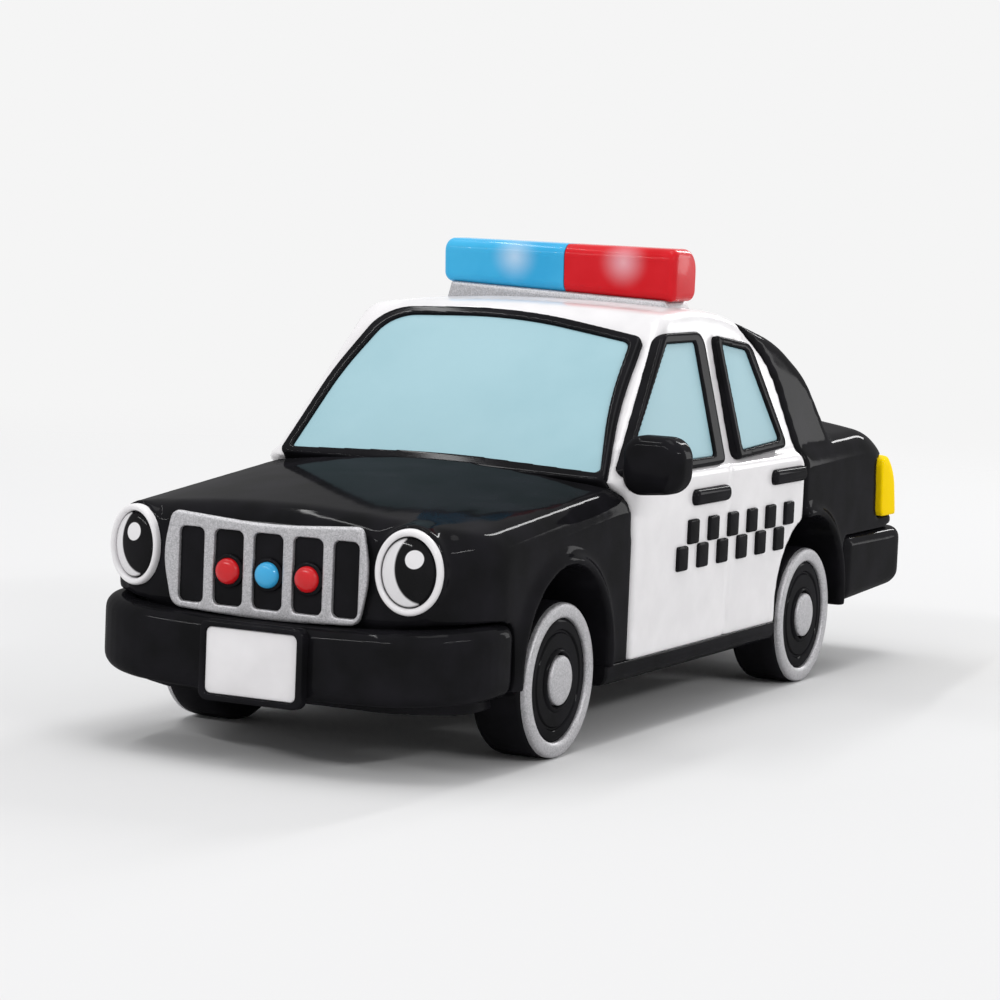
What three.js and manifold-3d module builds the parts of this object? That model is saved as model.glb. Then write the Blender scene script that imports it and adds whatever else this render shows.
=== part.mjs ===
import * as THREE from "three";
import { mergeVertices } from "three/addons/utils/BufferGeometryUtils.js";
import Module from "manifold-3d";

// A police car ornament: a hollow car body on a floor pan, with turning wheels and a lit light bar.
// Millimetres, +Z up from the ground, nose towards -Y, the car's left side towards +X.

// Fits and walls
const gap = 0.3;
const wall = 1.6;
const linerWall = 1.1;

// Wheels and axles
const wheelRadius = 7.7;
const wheelWidth = 5.6;
const wheelInset = 0.9;
const frontAxleY = -35.3;
const rearAxleY = 28.6;
const axleRadius = 1.2;
const axleClearance = 0.12;
const hubRadius = 2.45;
const hubThickness = 0.6;
const ringOuter = 7.6;
const ringInner = 6.1;
const ringThickness = 0.7;
const discRise = 0.3;
const axleBearingLength = 22;
const axleBearingWidth = 6.4;

// Wheel arches
const archRadius = 9.8;
const archRise = 1.6;
const archLip = 0.8;
const archLipProud = 0.5;
const wellClearance = 0.7;

// Lower body
const bodyHalfWidth = 20.8;
const noseY = -56.4;
const tailY = 58.8;
const sillBottom = 5.9;
const sillHeight = 2.1;
const sillEdge = 0.9;
const sillTopEdge = 0.2;
const bonnetFront = 24.5;
const cowlY = -24;
const cowlHeight = 27.2;
const bootHeight = 29.5;
const bodyEdge = 2.4;
const bonnetCrown = 1.9;
const endFlat = 9;
const noseSweep = 6;
const tailSweep = 2;

// Doors and cabin
const doorFrontY = -20;
const doorRearY = 26.4;
const doorEdge = 0.5;
const beltHeight = 26.5;
const cabinInset = 0.6;
const cabinLean = 0.239;
const cabinLeanRight = 0.1;
const roofFallRight = 1.2;
const pillarExtraRight = 1.6;
const cabinEdge = 2;
const windscreenBaseY = -23.28;
const windscreenRake = 1.128;
const roofRise = 16.7;
const roofFront = 4.4;
const rearPillarFoot = 25.4;
const rearPillarTop = 14.5;

// Windows
const frameProud = 0.6;
const frameDepth = 2;
const paneThickness = 1.4;
const paneRecess = 0.3;

// Front end
const frontBumperDepth = 2.4;
const frontBumperBottom = 6.6;
const frontBumperHeight = 7.2;
const frontBumperEnd = 10.2;
const frontBumperCorner = 10;
const bumperProud = 0.6;
const bumperInlay = 1.2;
const bumperEdge = 1.5;
const bumperTip = 0.1;
const bumperSmile = 0.8;
const grilleToHeadlight = 4;
const grilleBottom = 13.9;
const grilleHeight = 9.6;
const grilleDepth = 0.6;
const grilleMargin = 0.15;
const grilleBar = 1.1;
const grilleSlots = 5;
const grilleBand = 1.15;
const lampRadius = 1.25;
const lampHeight = 18.1;
const lampDepth = 1.2;
const plateFrameHalfWidth = 5.6;
const plateFrameHeight = 7.7;
const plateFrameBottom = 6.1;
const plateFrameBand = 0.65;
const plateFrameDepth = 0.9;
const headlightInset = 5.9;
const headlightHeight = 19.6;
const headlightRadius = 4.05;
const headlightAspect = 0.87;
const headlightSplay = 9.6;
const headlightBand = 0.85;
const headlightProud = 0.8;
const headlightPod = 0.35;
const lensDome = 0.7;

// Rear end
const rearBumperDepth = 1.2;
const rearBumperBottom = 7.25;
const rearBumperHeight = 7.8;
const rearBumperEnd = 19.2;
const rearBumperCorner = 4.5;
const tailLampSetIn = 2.6;
const tailLampLength = 6.2;
const tailLampBottom = 17.4;
const tailLampHeight = 6.9;
const tailLampProud = 0.6;

// Door mirror and handles
const mirrorY = -21;
const mirrorRise = 1.8;
const mirrorSpan = 5.9;
const mirrorTall = 5.6;
const mirrorDepth = 3.4;
const mirrorStandOff = 0.2;
const handleLength = 9.4;
const handleTall = 1.7;
const handleProud = 0.7;
const frontHandleY = -1.2;
const rearHandleY = 20.6;
const handleDrop = 3;
const handleRise = 0.7;

// Light bar
const barHalfWidth = 13.7;
const barFrontY = 2.2;
const barDepth = 6.6;
const barSplit = 0.9;
const barBaseHeight = 1;
const barHeight = 4.8;
const barWall = 0.9;
const ledX = 6.7;
const ledRadius = 1.3;

// Power
const cellRadius = 10;
const cellThickness = 3.2;
const cellY = -6;
const capRadius = 11.2;
const capThickness = 1.4;
const contactThickness = 0.4;
const boardThickness = 1.2;
const boardHalfWidth = 9;
const boardLength = 29;
const switchY = 10.6;
const switchTravel = 2.4;
const sliderWidth = 2;
const cableRadius = 0.8;

// Screws
const screwRadius = 0.8;
const screwHeadRadius = 1.8;
const screwLength = 9;
const postRadius = 2.3;
const frontPostY = -47.5;
const rearPostY = 37.8;
const floorRear = 41;

// Hanger
const hangerY = 18.2;
const hangerStandOff = 2;
const loopWire = 0.5;
const loopWidth = 6.4;
const loopLength = 8;
const eyeletRadius = 2;

// Worked out from the sizes above
const sillTop = sillBottom + sillHeight;
const shellBottom = sillTop + gap;
const roofHeight = beltHeight + roofRise;
const wheelFace = bodyHalfWidth - wheelInset;
const cabinHalfWidth = bodyHalfWidth - cabinInset;
const headlightX = bodyHalfWidth - headlightInset;
const grilleHalfWidth = headlightX - grilleToHeadlight;
const grillePitch = 2 * (grilleHalfWidth - grilleMargin) / grilleSlots;
const tailLampFront = tailY - tailLampSetIn - tailLampLength;
const mirrorHeight = beltHeight + mirrorRise;
const handleHeight = beltHeight - handleDrop;
const wellInner = wheelFace - wheelWidth - wellClearance;
const deep = 2 * bodyHalfWidth;
const long = 2 * (tailY - noseY);
const windscreenY = (z) => windscreenBaseY + windscreenRake * (z - beltHeight);
const cabinWidth = (z, lean) => cabinHalfWidth - lean * Math.max(z - beltHeight, -sillHeight);

const wasm = await Module();
wasm.setup();

const colours = {
  gloss_black: { color: 0x141417, roughness: 0.15, metalness: 0 },
  gloss_white: { color: 0xe9e6e8, roughness: 0.2, metalness: 0 },
  sky_pane: { color: 0xb0d4de, roughness: 0.3, metalness: 0 },
  silver_paint: { color: 0xb9b9bd, roughness: 0.45, metalness: 0.7 },
  lamp_red: { color: 0xcf141c, roughness: 0.2, metalness: 0 },
  lamp_blue: { color: 0x3aaee0, roughness: 0.2, metalness: 0 },
  lamp_amber: { color: 0xe6c400, roughness: 0.2, metalness: 0 },
  steel: { color: 0x9a9ca0, roughness: 0.35, metalness: 1 },
  board_green: { color: 0x1f6b3a, roughness: 0.5, metalness: 0 },
};

// Solids and meshes

function toSolid(geometry) {
  const bare = geometry.clone();
  bare.deleteAttribute("normal");
  bare.deleteAttribute("uv");
  const merged = mergeVertices(bare, 1e-4);
  const index = merged.index.array;
  const triVerts = [];
  for (let i = 0; i < index.length; i += 3) {
    const [a, b, c] = index.slice(i, i + 3);
    if (a !== b && b !== c && c !== a) triVerts.push(a, b, c);
  }
  const mesh = new wasm.Mesh({
    numProp: 3,
    vertProperties: new Float32Array(merged.attributes.position.array),
    triVerts: new Uint32Array(triVerts),
  });
  return new wasm.Manifold(mesh);
}

function toGeometry(solid) {
  const { vertProperties, triVerts } = solid.getMesh();
  const geometry = new THREE.BufferGeometry();
  geometry.setAttribute("position", new THREE.BufferAttribute(vertProperties, 3));
  geometry.setIndex(new THREE.BufferAttribute(triVerts, 1));
  geometry.computeVertexNormals();
  return geometry;
}

const car = new THREE.Group();

function addPiece(name, solid, colour, mirrored = false) {
  const mesh = new THREE.Mesh(toGeometry(solid), new THREE.MeshStandardMaterial(colours[colour]));
  mesh.name = name;
  if (mirrored) mesh.scale.x = -1;
  car.add(mesh);
  return mesh;
}

// One piece for each side, modelled on the left and mirrored to the right.
function addPair(name, solid, colour) {
  addPiece(`${name}_left`, solid, colour);
  addPiece(`${name}_right`, solid, colour, true);
}

// Outlines and extrusions

// The side view runs along the car and up, the front view across and up, the plan view across and along.
const sideView = new THREE.Matrix4().makeBasis(
  new THREE.Vector3(0, 1, 0), new THREE.Vector3(0, 0, 1), new THREE.Vector3(1, 0, 0));
const frontView = new THREE.Matrix4().makeBasis(
  new THREE.Vector3(1, 0, 0), new THREE.Vector3(0, 0, 1), new THREE.Vector3(0, -1, 0));
const planView = new THREE.Matrix4();

// A closed outline through corners given as [across, up, fillet radius].
function outline(corners, share = 0.49) {
  const shape = new THREE.Shape();
  const at = (i) => new THREE.Vector2(...corners[(i + corners.length) % corners.length]);
  corners.forEach((corner, i) => {
    const here = at(i);
    const back = at(i - 1).sub(here);
    const on = at(i + 1).sub(here);
    const half = back.angleTo(on) / 2;
    const reach = Math.min(corner[2] / Math.tan(half), share * back.length(), share * on.length());
    const inward = back.clone().normalize().add(on.clone().normalize()).normalize();
    const start = here.clone().addScaledVector(back.normalize(), reach);
    const centre = here.clone().addScaledVector(inward, reach / Math.cos(half));
    const from = start.clone().sub(centre).angle();
    const sweep = (Math.PI - 2 * half) * (back.cross(on) < 0 ? 1 : -1);
    if (i === 0) shape.moveTo(start.x, start.y);
    else shape.lineTo(start.x, start.y);
    if (reach > 0) shape.absarc(centre.x, centre.y, reach * Math.tan(half), from, from + sweep, sweep < 0);
  });
  return shape;
}

// An outline extruded between two depths of its view, grown all round, with rounded edges.
function slab(shape, view, from, to, { edge = 0, grow = 0, steps = 1, segments = 2, rounds = 1 } = {}) {
  const round = edge > 0 ? Math.max(0, edge + grow) : 0;
  const geometry = new THREE.ExtrudeGeometry(shape, {
    depth: to - from - 2 * round,
    steps,
    curveSegments: segments,
    bevelEnabled: true,
    bevelThickness: round,
    bevelSize: round,
    bevelOffset: grow - round,
    bevelSegments: round > 0 ? rounds : 0,
  });
  return geometry.translate(0, 0, from + round).applyMatrix4(view);
}

function deform(geometry, move) {
  const position = geometry.attributes.position;
  const point = new THREE.Vector3();
  for (let i = 0; i < position.count; i += 1) {
    move(point.fromBufferAttribute(position, i));
    position.setXYZ(i, point.x, point.y, point.z);
  }
  return geometry;
}

function block(from, to) {
  const size = new THREE.Vector3().subVectors(to, from);
  const centre = new THREE.Vector3().addVectors(from, to).multiplyScalar(0.5);
  const geometry = new THREE.BoxGeometry(size.x, size.y, size.z);
  return toSolid(geometry.translate(centre.x, centre.y, centre.z));
}

const box = (x0, x1, y0, y1, z0, z1) => block(new THREE.Vector3(x0, y0, z0), new THREE.Vector3(x1, y1, z1));
const above = (z) => box(-deep, deep, -long, long, z, z + long);
const behind = (y) => box(-deep, deep, y, y + long, -long, long);
const before = (y) => box(-deep, deep, y - long, y, -long, long);

// A round piece on an upright axis, from a profile of [radius, height].
function turned(profile, segments = 20) {
  const points = profile.map(([radius, height]) => new THREE.Vector2(radius, height));
  return new THREE.LatheGeometry(points, segments).rotateX(Math.PI / 2);
}

function rod(radius, from, to, segments = 16) {
  return turned([[0, from], [radius, from], [radius, to], [0, to]], segments);
}

const mirroredX = (solid) => solid.mirror([1, 0, 0]);
const bothSides = (solid) => solid.add(mirroredX(solid));

// Lower body: a side profile drawn out across the car with rounded edges

const bodyFloor = sillBottom - bodyEdge;
const bodyOutline = outline([
  [noseY, bodyFloor, 3],
  [noseY, bonnetFront, 3],
  [cowlY, cowlHeight, 40],
  [tailY - 9, bootHeight, 14],
  [tailY - 1.4, bootHeight - 4.2, 5],
  [tailY, bootHeight - 13, 14],
  [tailY, bodyFloor, 3],
]);

// The nose and tail sweep back from a flat middle to their corners, the nose late and fully.
function endSweep(x, atNose) {
  const out = Math.max(0, Math.abs(x) - endFlat) / (bodyHalfWidth - endFlat);
  return atNose ? noseSweep * out ** 3.6 : tailSweep * out ** 2;
}

// The bonnet and boot are crowned too.
function crownAndSweep(point) {
  const across = Math.abs(point.x) / bodyHalfWidth;
  const high = THREE.MathUtils.smoothstep(point.z, bonnetFront / 2, bonnetFront);
  const atEnds = THREE.MathUtils.smoothstep(Math.abs(point.y), Math.abs(doorRearY), Math.abs(noseY));
  const sweep = endSweep(point.x, point.y < 0);
  point.z -= bonnetCrown * across ** 2 * high;
  point.y -= Math.sign(point.y) * sweep * atEnds;
}

function body(grow) {
  const half = bodyHalfWidth + grow;
  const geometry = slab(bodyOutline, sideView, -half, half, { edge: bodyEdge, grow, steps: 6, rounds: 3 });
  return toSolid(deform(geometry, crownAndSweep));
}

const bodyOuter = body(0);
const bodySeat = body(gap);
const bodyInner = body(-wall);
const bodyCore = body(-wall - bumperInlay);

// Cabin: the same way, with the sides leaning in

const cabinFoot = beltHeight - 6;
const roofCrest = new THREE.Vector2(8, roofHeight + 0.1);
const roofHip = new THREE.Vector2(24.3, roofHeight - 4.2);
const rearWindowFoot = new THREE.Vector2(37.5, beltHeight);
const rearWindowTop = new THREE.Vector2(31.2, roofHeight - 8.3);

function rearWindowY(z) {
  return THREE.MathUtils.mapLinear(z, rearWindowFoot.y, rearWindowTop.y, rearWindowFoot.x, rearWindowTop.x);
}

const roofOutline = outline([
  [windscreenY(cabinFoot), cabinFoot, 0],
  [windscreenY(roofHeight - 0.4), roofHeight - 0.4, roofFront],
  [roofCrest.x, roofCrest.y, 45],
  [roofHip.x, roofHip.y, 22],
  [rearWindowTop.x, rearWindowTop.y, 10],
  [rearWindowY(cabinFoot), cabinFoot, 0],
]);

// The cabin leans in more on its left, and its roof falls away a little to its right.
function leanIn(point) {
  const onRight = Math.max(0, -point.x) / cabinHalfWidth;
  const high = THREE.MathUtils.smoothstep(point.z, beltHeight + 0.6 * roofRise, roofHeight);
  point.x *= cabinWidth(point.z, onRight > 0 ? cabinLeanRight : cabinLean) / cabinHalfWidth;
  point.z -= roofFallRight * onRight ** 2 * high;
}

function cabin(grow) {
  const half = cabinHalfWidth + grow;
  const geometry = slab(roofOutline, sideView, -half, half, { edge: cabinEdge, grow, rounds: 2 });
  return toSolid(deform(geometry, leanIn));
}

const cabinOuter = cabin(0);
const cabinSeat = cabin(gap);
const cabinInner = cabin(-wall);

const doorOutline = outline([
  [doorFrontY, shellBottom, 0],
  [doorRearY, shellBottom, 0],
  [doorRearY, beltHeight, 2],
  [doorFrontY - 4, beltHeight, 1],
  [doorFrontY - 0.8, beltHeight - 2.4, 3],
  [doorFrontY, beltHeight - 6, 3],
]);

function doors(grow) {
  const half = bodyHalfWidth + grow;
  return toSolid(slab(doorOutline, sideView, -half, half, { edge: doorEdge, grow }));
}

const doorInside = bodyHalfWidth - wall;
const doorRoom = box(-doorInside, doorInside, 2 * doorFrontY, 2 * doorRearY, 0, beltHeight - wall);

// The white part of the cabin: everything between the windscreen and the line of the rear pillar.
const whiteOutline = new THREE.Shape();
whiteOutline.moveTo(doorFrontY, 0);
whiteOutline.lineTo(doorRearY, 0);
whiteOutline.lineTo(doorRearY, beltHeight - 1);
whiteOutline.lineTo(rearPillarFoot, beltHeight + 1);
whiteOutline.quadraticCurveTo(rearPillarFoot - 4.3, roofHeight - 6.7, rearPillarTop, roofHeight - 2.7);
whiteOutline.lineTo(rearPillarTop, roofHeight + barHeight);
whiteOutline.lineTo(windscreenY(roofHeight + barHeight), roofHeight + barHeight);
whiteOutline.lineTo(windscreenY(beltHeight - 0.4), beltHeight - 0.4);
whiteOutline.quadraticCurveTo(doorFrontY - 0.5, beltHeight - 1.5, doorFrontY, beltHeight - 6.5);

const white = (grow) => toSolid(slab(whiteOutline, sideView, -deep, deep, { grow }));

// Wheel arches and wells

function archOutline(axleY, radius) {
  const shape = new THREE.Shape();
  shape.moveTo(axleY + radius, -wheelRadius);
  shape.lineTo(axleY + radius, wheelRadius + archRise);
  shape.absarc(axleY, wheelRadius + archRise, radius, 0, Math.PI, false);
  shape.lineTo(axleY - radius, -wheelRadius);
  return shape;
}

function well(axleY, grow, outerX) {
  const shape = archOutline(axleY, archRadius + grow);
  return bothSides(toSolid(slab(shape, sideView, wellInner - grow, outerX, { segments: 5 })));
}

function archLips(axleY) {
  const reach = bodyHalfWidth + archLipProud;
  const shape = archOutline(axleY, archRadius + archLip);
  const outer = slab(shape, sideView, wellInner, reach, { edge: 0.35, segments: 5 });
  return bothSides(toSolid(outer)).intersect(above(shellBottom));
}

function axleSlot(axleY) {
  const half = axleRadius + gap;
  return box(-deep, deep, axleY - half, axleY + half, 0, wheelRadius)
    .add(toSolid(rod(half, -deep, deep).rotateY(Math.PI / 2).translate(0, axleY, wheelRadius)));
}

const frontWell = well(frontAxleY, 0, deep);
const frontLiner = well(frontAxleY, linerWall, deep);
const rearWell = well(rearAxleY, 0, deep);
const rearLiner = well(rearAxleY, linerWall, deep);

// Bumpers: a rounded plan, raised a little towards its ends, hollowed by the body that it wraps

function bumperPlan(frontY, endY, cornerRadius) {
  const half = bodyHalfWidth + bumperProud;
  return outline([
    [-half, endY, bumperEdge + bumperTip],
    [-half, frontY, cornerRadius],
    [half, frontY, cornerRadius],
    [half, endY, bumperEdge + bumperTip],
  ], 0.85);
}

function bumperBlock(plan, bottom, height, grow) {
  const top = bottom + height;
  const geometry = slab(plan, planView, bottom - grow, top + grow, { edge: bumperEdge, grow, rounds: 3 });
  return toSolid(deform(geometry, (point) => {
    point.z += bumperSmile * (point.x / bodyHalfWidth) ** 2;
  }));
}

const frontBumperY = noseY - frontBumperDepth;
const rearBumperY = tailY + rearBumperDepth;
const frontBumperPlan = bumperPlan(frontBumperY, noseY + frontBumperEnd, frontBumperCorner);
const rearBumperPlan = bumperPlan(rearBumperY, tailY - rearBumperEnd, rearBumperCorner);
const bumperCore = body(-bumperInlay);
const frontBumper = (grow) => bumperBlock(frontBumperPlan, frontBumperBottom, frontBumperHeight, grow);
const rearBumper = (grow) => bumperBlock(rearBumperPlan, rearBumperBottom, rearBumperHeight, grow);

addPiece("front_bumper", frontBumper(0).subtract(bumperCore), "gloss_black");
addPiece("rear_bumper", rearBumper(0).subtract(bumperCore), "gloss_black");

// The body keeps a full wall behind the bumpers.
function bumperHollow(bottom, height) {
  return bodyInner.intersect(above(bottom + height + bumperSmile + wall)).add(bodyCore);
}

const bumperPocket = (bumper) => bumper(gap).subtract(body(-bumperInlay - gap));

// Screw posts

function post(y, top) {
  return toSolid(rod(postRadius, shellBottom, top).translate(0, y, 0));
}

function pilot(y) {
  const depth = sillBottom + screwLength + gap;
  return toSolid(rod(screwRadius + gap, sillBottom, depth, 12).translate(0, y, 0));
}

// Panes and frames, each on its own plane

function planeAt(origin, across, up) {
  const normal = new THREE.Vector3().crossVectors(across, up).normalize();
  const x = across.clone().normalize();
  const y = new THREE.Vector3().crossVectors(normal, x);
  return new THREE.Matrix4().makeBasis(x, y, normal).setPosition(origin);
}

const windscreenPlane = planeAt(
  new THREE.Vector3(0, windscreenBaseY, beltHeight), new THREE.Vector3(1, 0, 0),
  new THREE.Vector3(0, windscreenRake, 1));
const sidePlane = (lean) => planeAt(
  new THREE.Vector3(cabinHalfWidth, 0, beltHeight), new THREE.Vector3(0, 1, 0),
  new THREE.Vector3(-lean, 0, 1));
const leftPlane = sidePlane(cabinLean);
const rightPlane = sidePlane(cabinLeanRight);
const rearWindowRun = rearWindowTop.clone().sub(rearWindowFoot);
const rearWindowPlane = planeAt(
  new THREE.Vector3(0, rearWindowFoot.x, rearWindowFoot.y), new THREE.Vector3(-1, 0, 0),
  new THREE.Vector3(0, rearWindowRun.x, rearWindowRun.y));

// The rear window's half outline is mirrored about the car's middle.
const mirroredCorners = (half, middle) => [
  ...half.map(([x, y, radius]) => [x, y, radius]),
  ...middle,
  ...half.map(([x, y, radius]) => [-x, y, radius]).reverse(),
];

// The windscreen's upper right corner is rounder than its left one.
const windscreenFrame = outline([
  [0, -0.5, 90],
  [cabinHalfWidth - 1.4, -0.9, 0.8],
  [cabinHalfWidth - 4.7, 20, 1],
  [0, 23.3, 60],
  [4.1 - cabinHalfWidth, 22.2, 4.5],
  [1.9 - cabinHalfWidth, 12, 40],
  [1.2 - cabinHalfWidth, -0.5, 0.8],
]);
const windscreenGlass = outline([
  [0, 1.3, 90],
  [cabinHalfWidth - 2.6, 0.2, 0.5],
  [cabinHalfWidth - 6, 19.1, 1.2],
  [0, 22, 50],
  [5.6 - cabinHalfWidth, 21.1, 4],
  [3.2 - cabinHalfWidth, 12, 40],
  [2.5 - cabinHalfWidth, 0.3, 0.5],
]);
// The front side windows start further back on the right, behind a broader pillar.
const frontSideFrame = (back) => outline(
  [[back - 22.4, -0.2, 0.8], [3.2, 0, 0.8], [2.9, 14.3, 1.8], [back - 6.3, 14.3, 3]]);
const frontSideGlass = (back) => outline(
  [[back - 19.6, 0.9, 0.5], [0.6, 0.9, 0.5], [0.4, 13.2, 0.5], [back - 5.6, 13.2, 1.5]]);
const rearSideFrame = () => outline([[5.9, 0.2, 0.6], [21.6, 0.7, 0.8], [16.2, 12.6, 2.4], [5, 13.8, 0.8]]);
const rearSideGlass = () => outline([[8.2, 1.1, 0.4], [19.1, 1.6, 0.4], [14, 11.9, 0.8], [7.4, 12.8, 0.4]]);
const rearFrame = outline(mirroredCorners(
  [[cabinHalfWidth - 3.6, 3.6, 1], [cabinHalfWidth - 6, 10.6, 1.6]], []));
const rearGlass = outline(mirroredCorners(
  [[cabinHalfWidth - 5.2, 4.7, 0.6], [cabinHalfWidth - 7.2, 9.5, 1]], []));

function opening(shape, plane) {
  return toSolid(slab(shape, plane, -frameDepth - wall, frameDepth + wall, { grow: gap }));
}

function frameSolid(shape, glass, plane) {
  const ring = toSolid(slab(shape, plane, frameProud - frameDepth, frameProud, { edge: 0.3 }));
  return ring.subtract(toSolid(slab(glass, plane, -2 * frameDepth, 2 * frameDepth)));
}

function paneSolid(glass, plane) {
  const face = frameProud - paneRecess;
  return toSolid(slab(glass, plane, face - paneThickness, face, { grow: -gap }));
}

addPiece("windscreen_frame", frameSolid(windscreenFrame, windscreenGlass, windscreenPlane), "gloss_black");
addPiece("windscreen", paneSolid(windscreenGlass, windscreenPlane), "sky_pane");
function addSideWindow(name, frame, glass) {
  const [frameLeft, frameRight] = [frame(0), frame(pillarExtraRight)];
  const [glassLeft, glassRight] = [glass(0), glass(pillarExtraRight)];
  addPiece(`${name}_frame_left`, frameSolid(frameLeft, glassLeft, leftPlane), "gloss_black");
  addPiece(`${name}_frame_right`, mirroredX(frameSolid(frameRight, glassRight, rightPlane)), "gloss_black");
  addPiece(`${name}_left`, paneSolid(glassLeft, leftPlane), "sky_pane");
  addPiece(`${name}_right`, mirroredX(paneSolid(glassRight, rightPlane)), "sky_pane");
}

addSideWindow("front_window", frontSideFrame, frontSideGlass);
addSideWindow("rear_side_window", rearSideFrame, rearSideGlass);
addPiece("rear_window_frame", frameSolid(rearFrame, rearGlass, rearWindowPlane), "gloss_black");
addPiece("rear_window", paneSolid(rearGlass, rearWindowPlane), "sky_pane");

// Door handles sit in shallow pockets

function handle(y, z, grow) {
  const half = handleLength / 2;
  const round = 0.42 * handleTall;
  const shape = outline([
    [y - half, z - handleTall / 2, round],
    [y + half, z - handleTall / 2, round],
    [y + half, z + handleTall / 2, round],
    [y - half, z + handleTall / 2, round],
  ]);
  const from = bodyHalfWidth - handleProud - grow;
  const to = bodyHalfWidth + handleProud + grow;
  return toSolid(slab(shape, sideView, from, to, { edge: grow > 0 ? 0 : 0.3, grow, segments: 1 }));
}

const handles = [
  ["front_door_handle", frontHandleY, handleHeight],
  ["rear_door_handle", rearHandleY, handleHeight + handleRise],
];
for (const [name, y, z] of handles) addPair(name, handle(y, z, 0), "gloss_black");
const handlePockets = handles
  .map(([, y, z]) => bothSides(handle(y, z, gap)))
  .reduce((all, one) => all.add(one));

// Hanger: an eyelet set in the roof behind the light bar, and a wire loop that folds back on to the roof

const hangerRoof = THREE.MathUtils.mapLinear(hangerY, roofCrest.x, roofHip.x, roofCrest.y, roofHip.y);
const hangerPivot = hangerRoof + hangerStandOff;
const eyeletHole = loopWire + gap;
const eyeletStem = eyeletRadius / 2;

function eyelet() {
  const footTop = hangerRoof + 1;
  const foot = toSolid(rod(eyeletRadius, hangerRoof - wall, footTop)).translate([0, hangerY, 0]);
  const lug = box(-0.7, 0.7, hangerY - eyeletHole - 0.6, hangerY + eyeletHole + 0.6,
    hangerRoof - wall, hangerPivot + eyeletHole + 0.6);
  const stem = toSolid(rod(eyeletStem, hangerRoof - 2 * wall, footTop)).translate([0, hangerY, 0]);
  const hole = toSolid(rod(eyeletHole, -eyeletRadius, eyeletRadius).rotateY(Math.PI / 2))
    .translate([0, hangerY, hangerPivot]);
  return foot.subtract(cabinSeat).add(lug.subtract(cabinSeat)).add(stem).subtract(hole);
}

addPiece("hanger_eyelet", eyelet(), "steel");

function hangerLoop() {
  const half = loopWidth / 2;
  const points = [
    [0, 0], [half - 1, 0], [half, 1.2], [half, loopLength - 2], [half - 1.4, loopLength - 0.3],
    [0, loopLength], [1.4 - half, loopLength - 0.3], [-half, loopLength - 2], [-half, 1.2], [1 - half, 0],
  ].map(([x, y]) => new THREE.Vector3(x, y, 0));
  const path = new THREE.CatmullRomCurve3(points, true);
  return toSolid(new THREE.TubeGeometry(path, 28, loopWire, 6, true));
}

const loopTilt = THREE.MathUtils.degToRad(22);
const loopMesh = addPiece("hanger_loop", hangerLoop(), "steel");
loopMesh.position.set(0, hangerY, hangerPivot);
loopMesh.rotation.x = -loopTilt;

// Light bar

const barCentreY = barFrontY + barDepth / 2;
const barBottom = roofHeight + barBaseHeight;
const barTop = barBottom + barHeight;
const stripBottom = barBottom + gap;
const stripTop = stripBottom + 0.8;
const bridgeTop = stripBottom + 0.4;
const bridgeHalfDepth = 1;

function barProfile(inset) {
  const front = barFrontY + inset;
  const back = barFrontY + barDepth - inset;
  return outline([
    [front + 0.3, barBottom + gap, 0.9],
    [back, barBottom + gap, 0.9],
    [back, barTop - inset, 2.4],
    [front, barTop - inset, 1],
  ]);
}

// Each lens is a part of the bar, hollow from below and closed where the two meet.
function barLens(inner) {
  const outer = toSolid(slab(barProfile(0), sideView, inner, barHalfWidth, { edge: 0.8, rounds: 2 }));
  const hollow = toSolid(slab(barProfile(barWall), sideView, inner + barWall, barHalfWidth - barWall));
  const mouth = box(inner + barWall, barHalfWidth - barWall, barFrontY + barWall + 0.5,
    barFrontY + barDepth - barWall - 0.3, barBottom, barBottom + barWall + 1);
  const passage = box(inner - gap, inner + 2 * barWall, barCentreY - bridgeHalfDepth - gap,
    barCentreY + bridgeHalfDepth + gap, barBottom, bridgeTop + gap);
  return outer.subtract(hollow).subtract(mouth).subtract(passage);
}

addPiece("light_bar_lens_red", barLens(gap / 2 + barSplit), "lamp_red");
addPiece("light_bar_lens_blue", barLens(gap / 2 - barSplit), "lamp_blue", true);

const cableHole = toSolid(rod(cableRadius + gap, 0, roofHeight + barHeight)).translate([0, barCentreY, 0]);

function barBase() {
  const shape = outline([
    [-barHalfWidth + 0.1, roofHeight - 2, 0],
    [barHalfWidth - 0.1, roofHeight - 2, 0],
    [barHalfWidth - 0.9, barBottom, 0.3],
    [-barHalfWidth + 0.9, barBottom, 0.3],
  ]);
  const base = toSolid(slab(shape, frontView, -(barFrontY + barDepth - 0.4), -(barFrontY + 0.4)));
  return base.subtract(cabinSeat).subtract(cableHole);
}

addPiece("light_bar_base", barBase(), "silver_paint");

function lightStrip() {
  const strip = box(-ledX - 3, ledX + 3, barCentreY - 1.6, barCentreY + 1.6, stripBottom, stripTop);
  const half = gap / 2 + barWall + gap;
  const notch = box(barSplit - half, barSplit + half, barCentreY - 2, barCentreY + 2,
    stripBottom - 1, stripTop + 1);
  const bridge = box(barSplit - half - 1, barSplit + half + 1, barCentreY - bridgeHalfDepth,
    barCentreY + bridgeHalfDepth, stripBottom, bridgeTop);
  const led = toSolid(turned([
    [0, stripBottom + 0.4], [ledRadius, stripBottom + 0.4], [ledRadius, stripTop + 0.8],
    [0.7 * ledRadius, stripTop + 1.6], [0, stripTop + 1.9],
  ], 12)).translate([ledX, barCentreY, 0]);
  return strip.subtract(notch).add(bridge).add(bothSides(led));
}

addPiece("light_bar_strip", lightStrip(), "board_green");

// Headlight axis and pods

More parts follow.
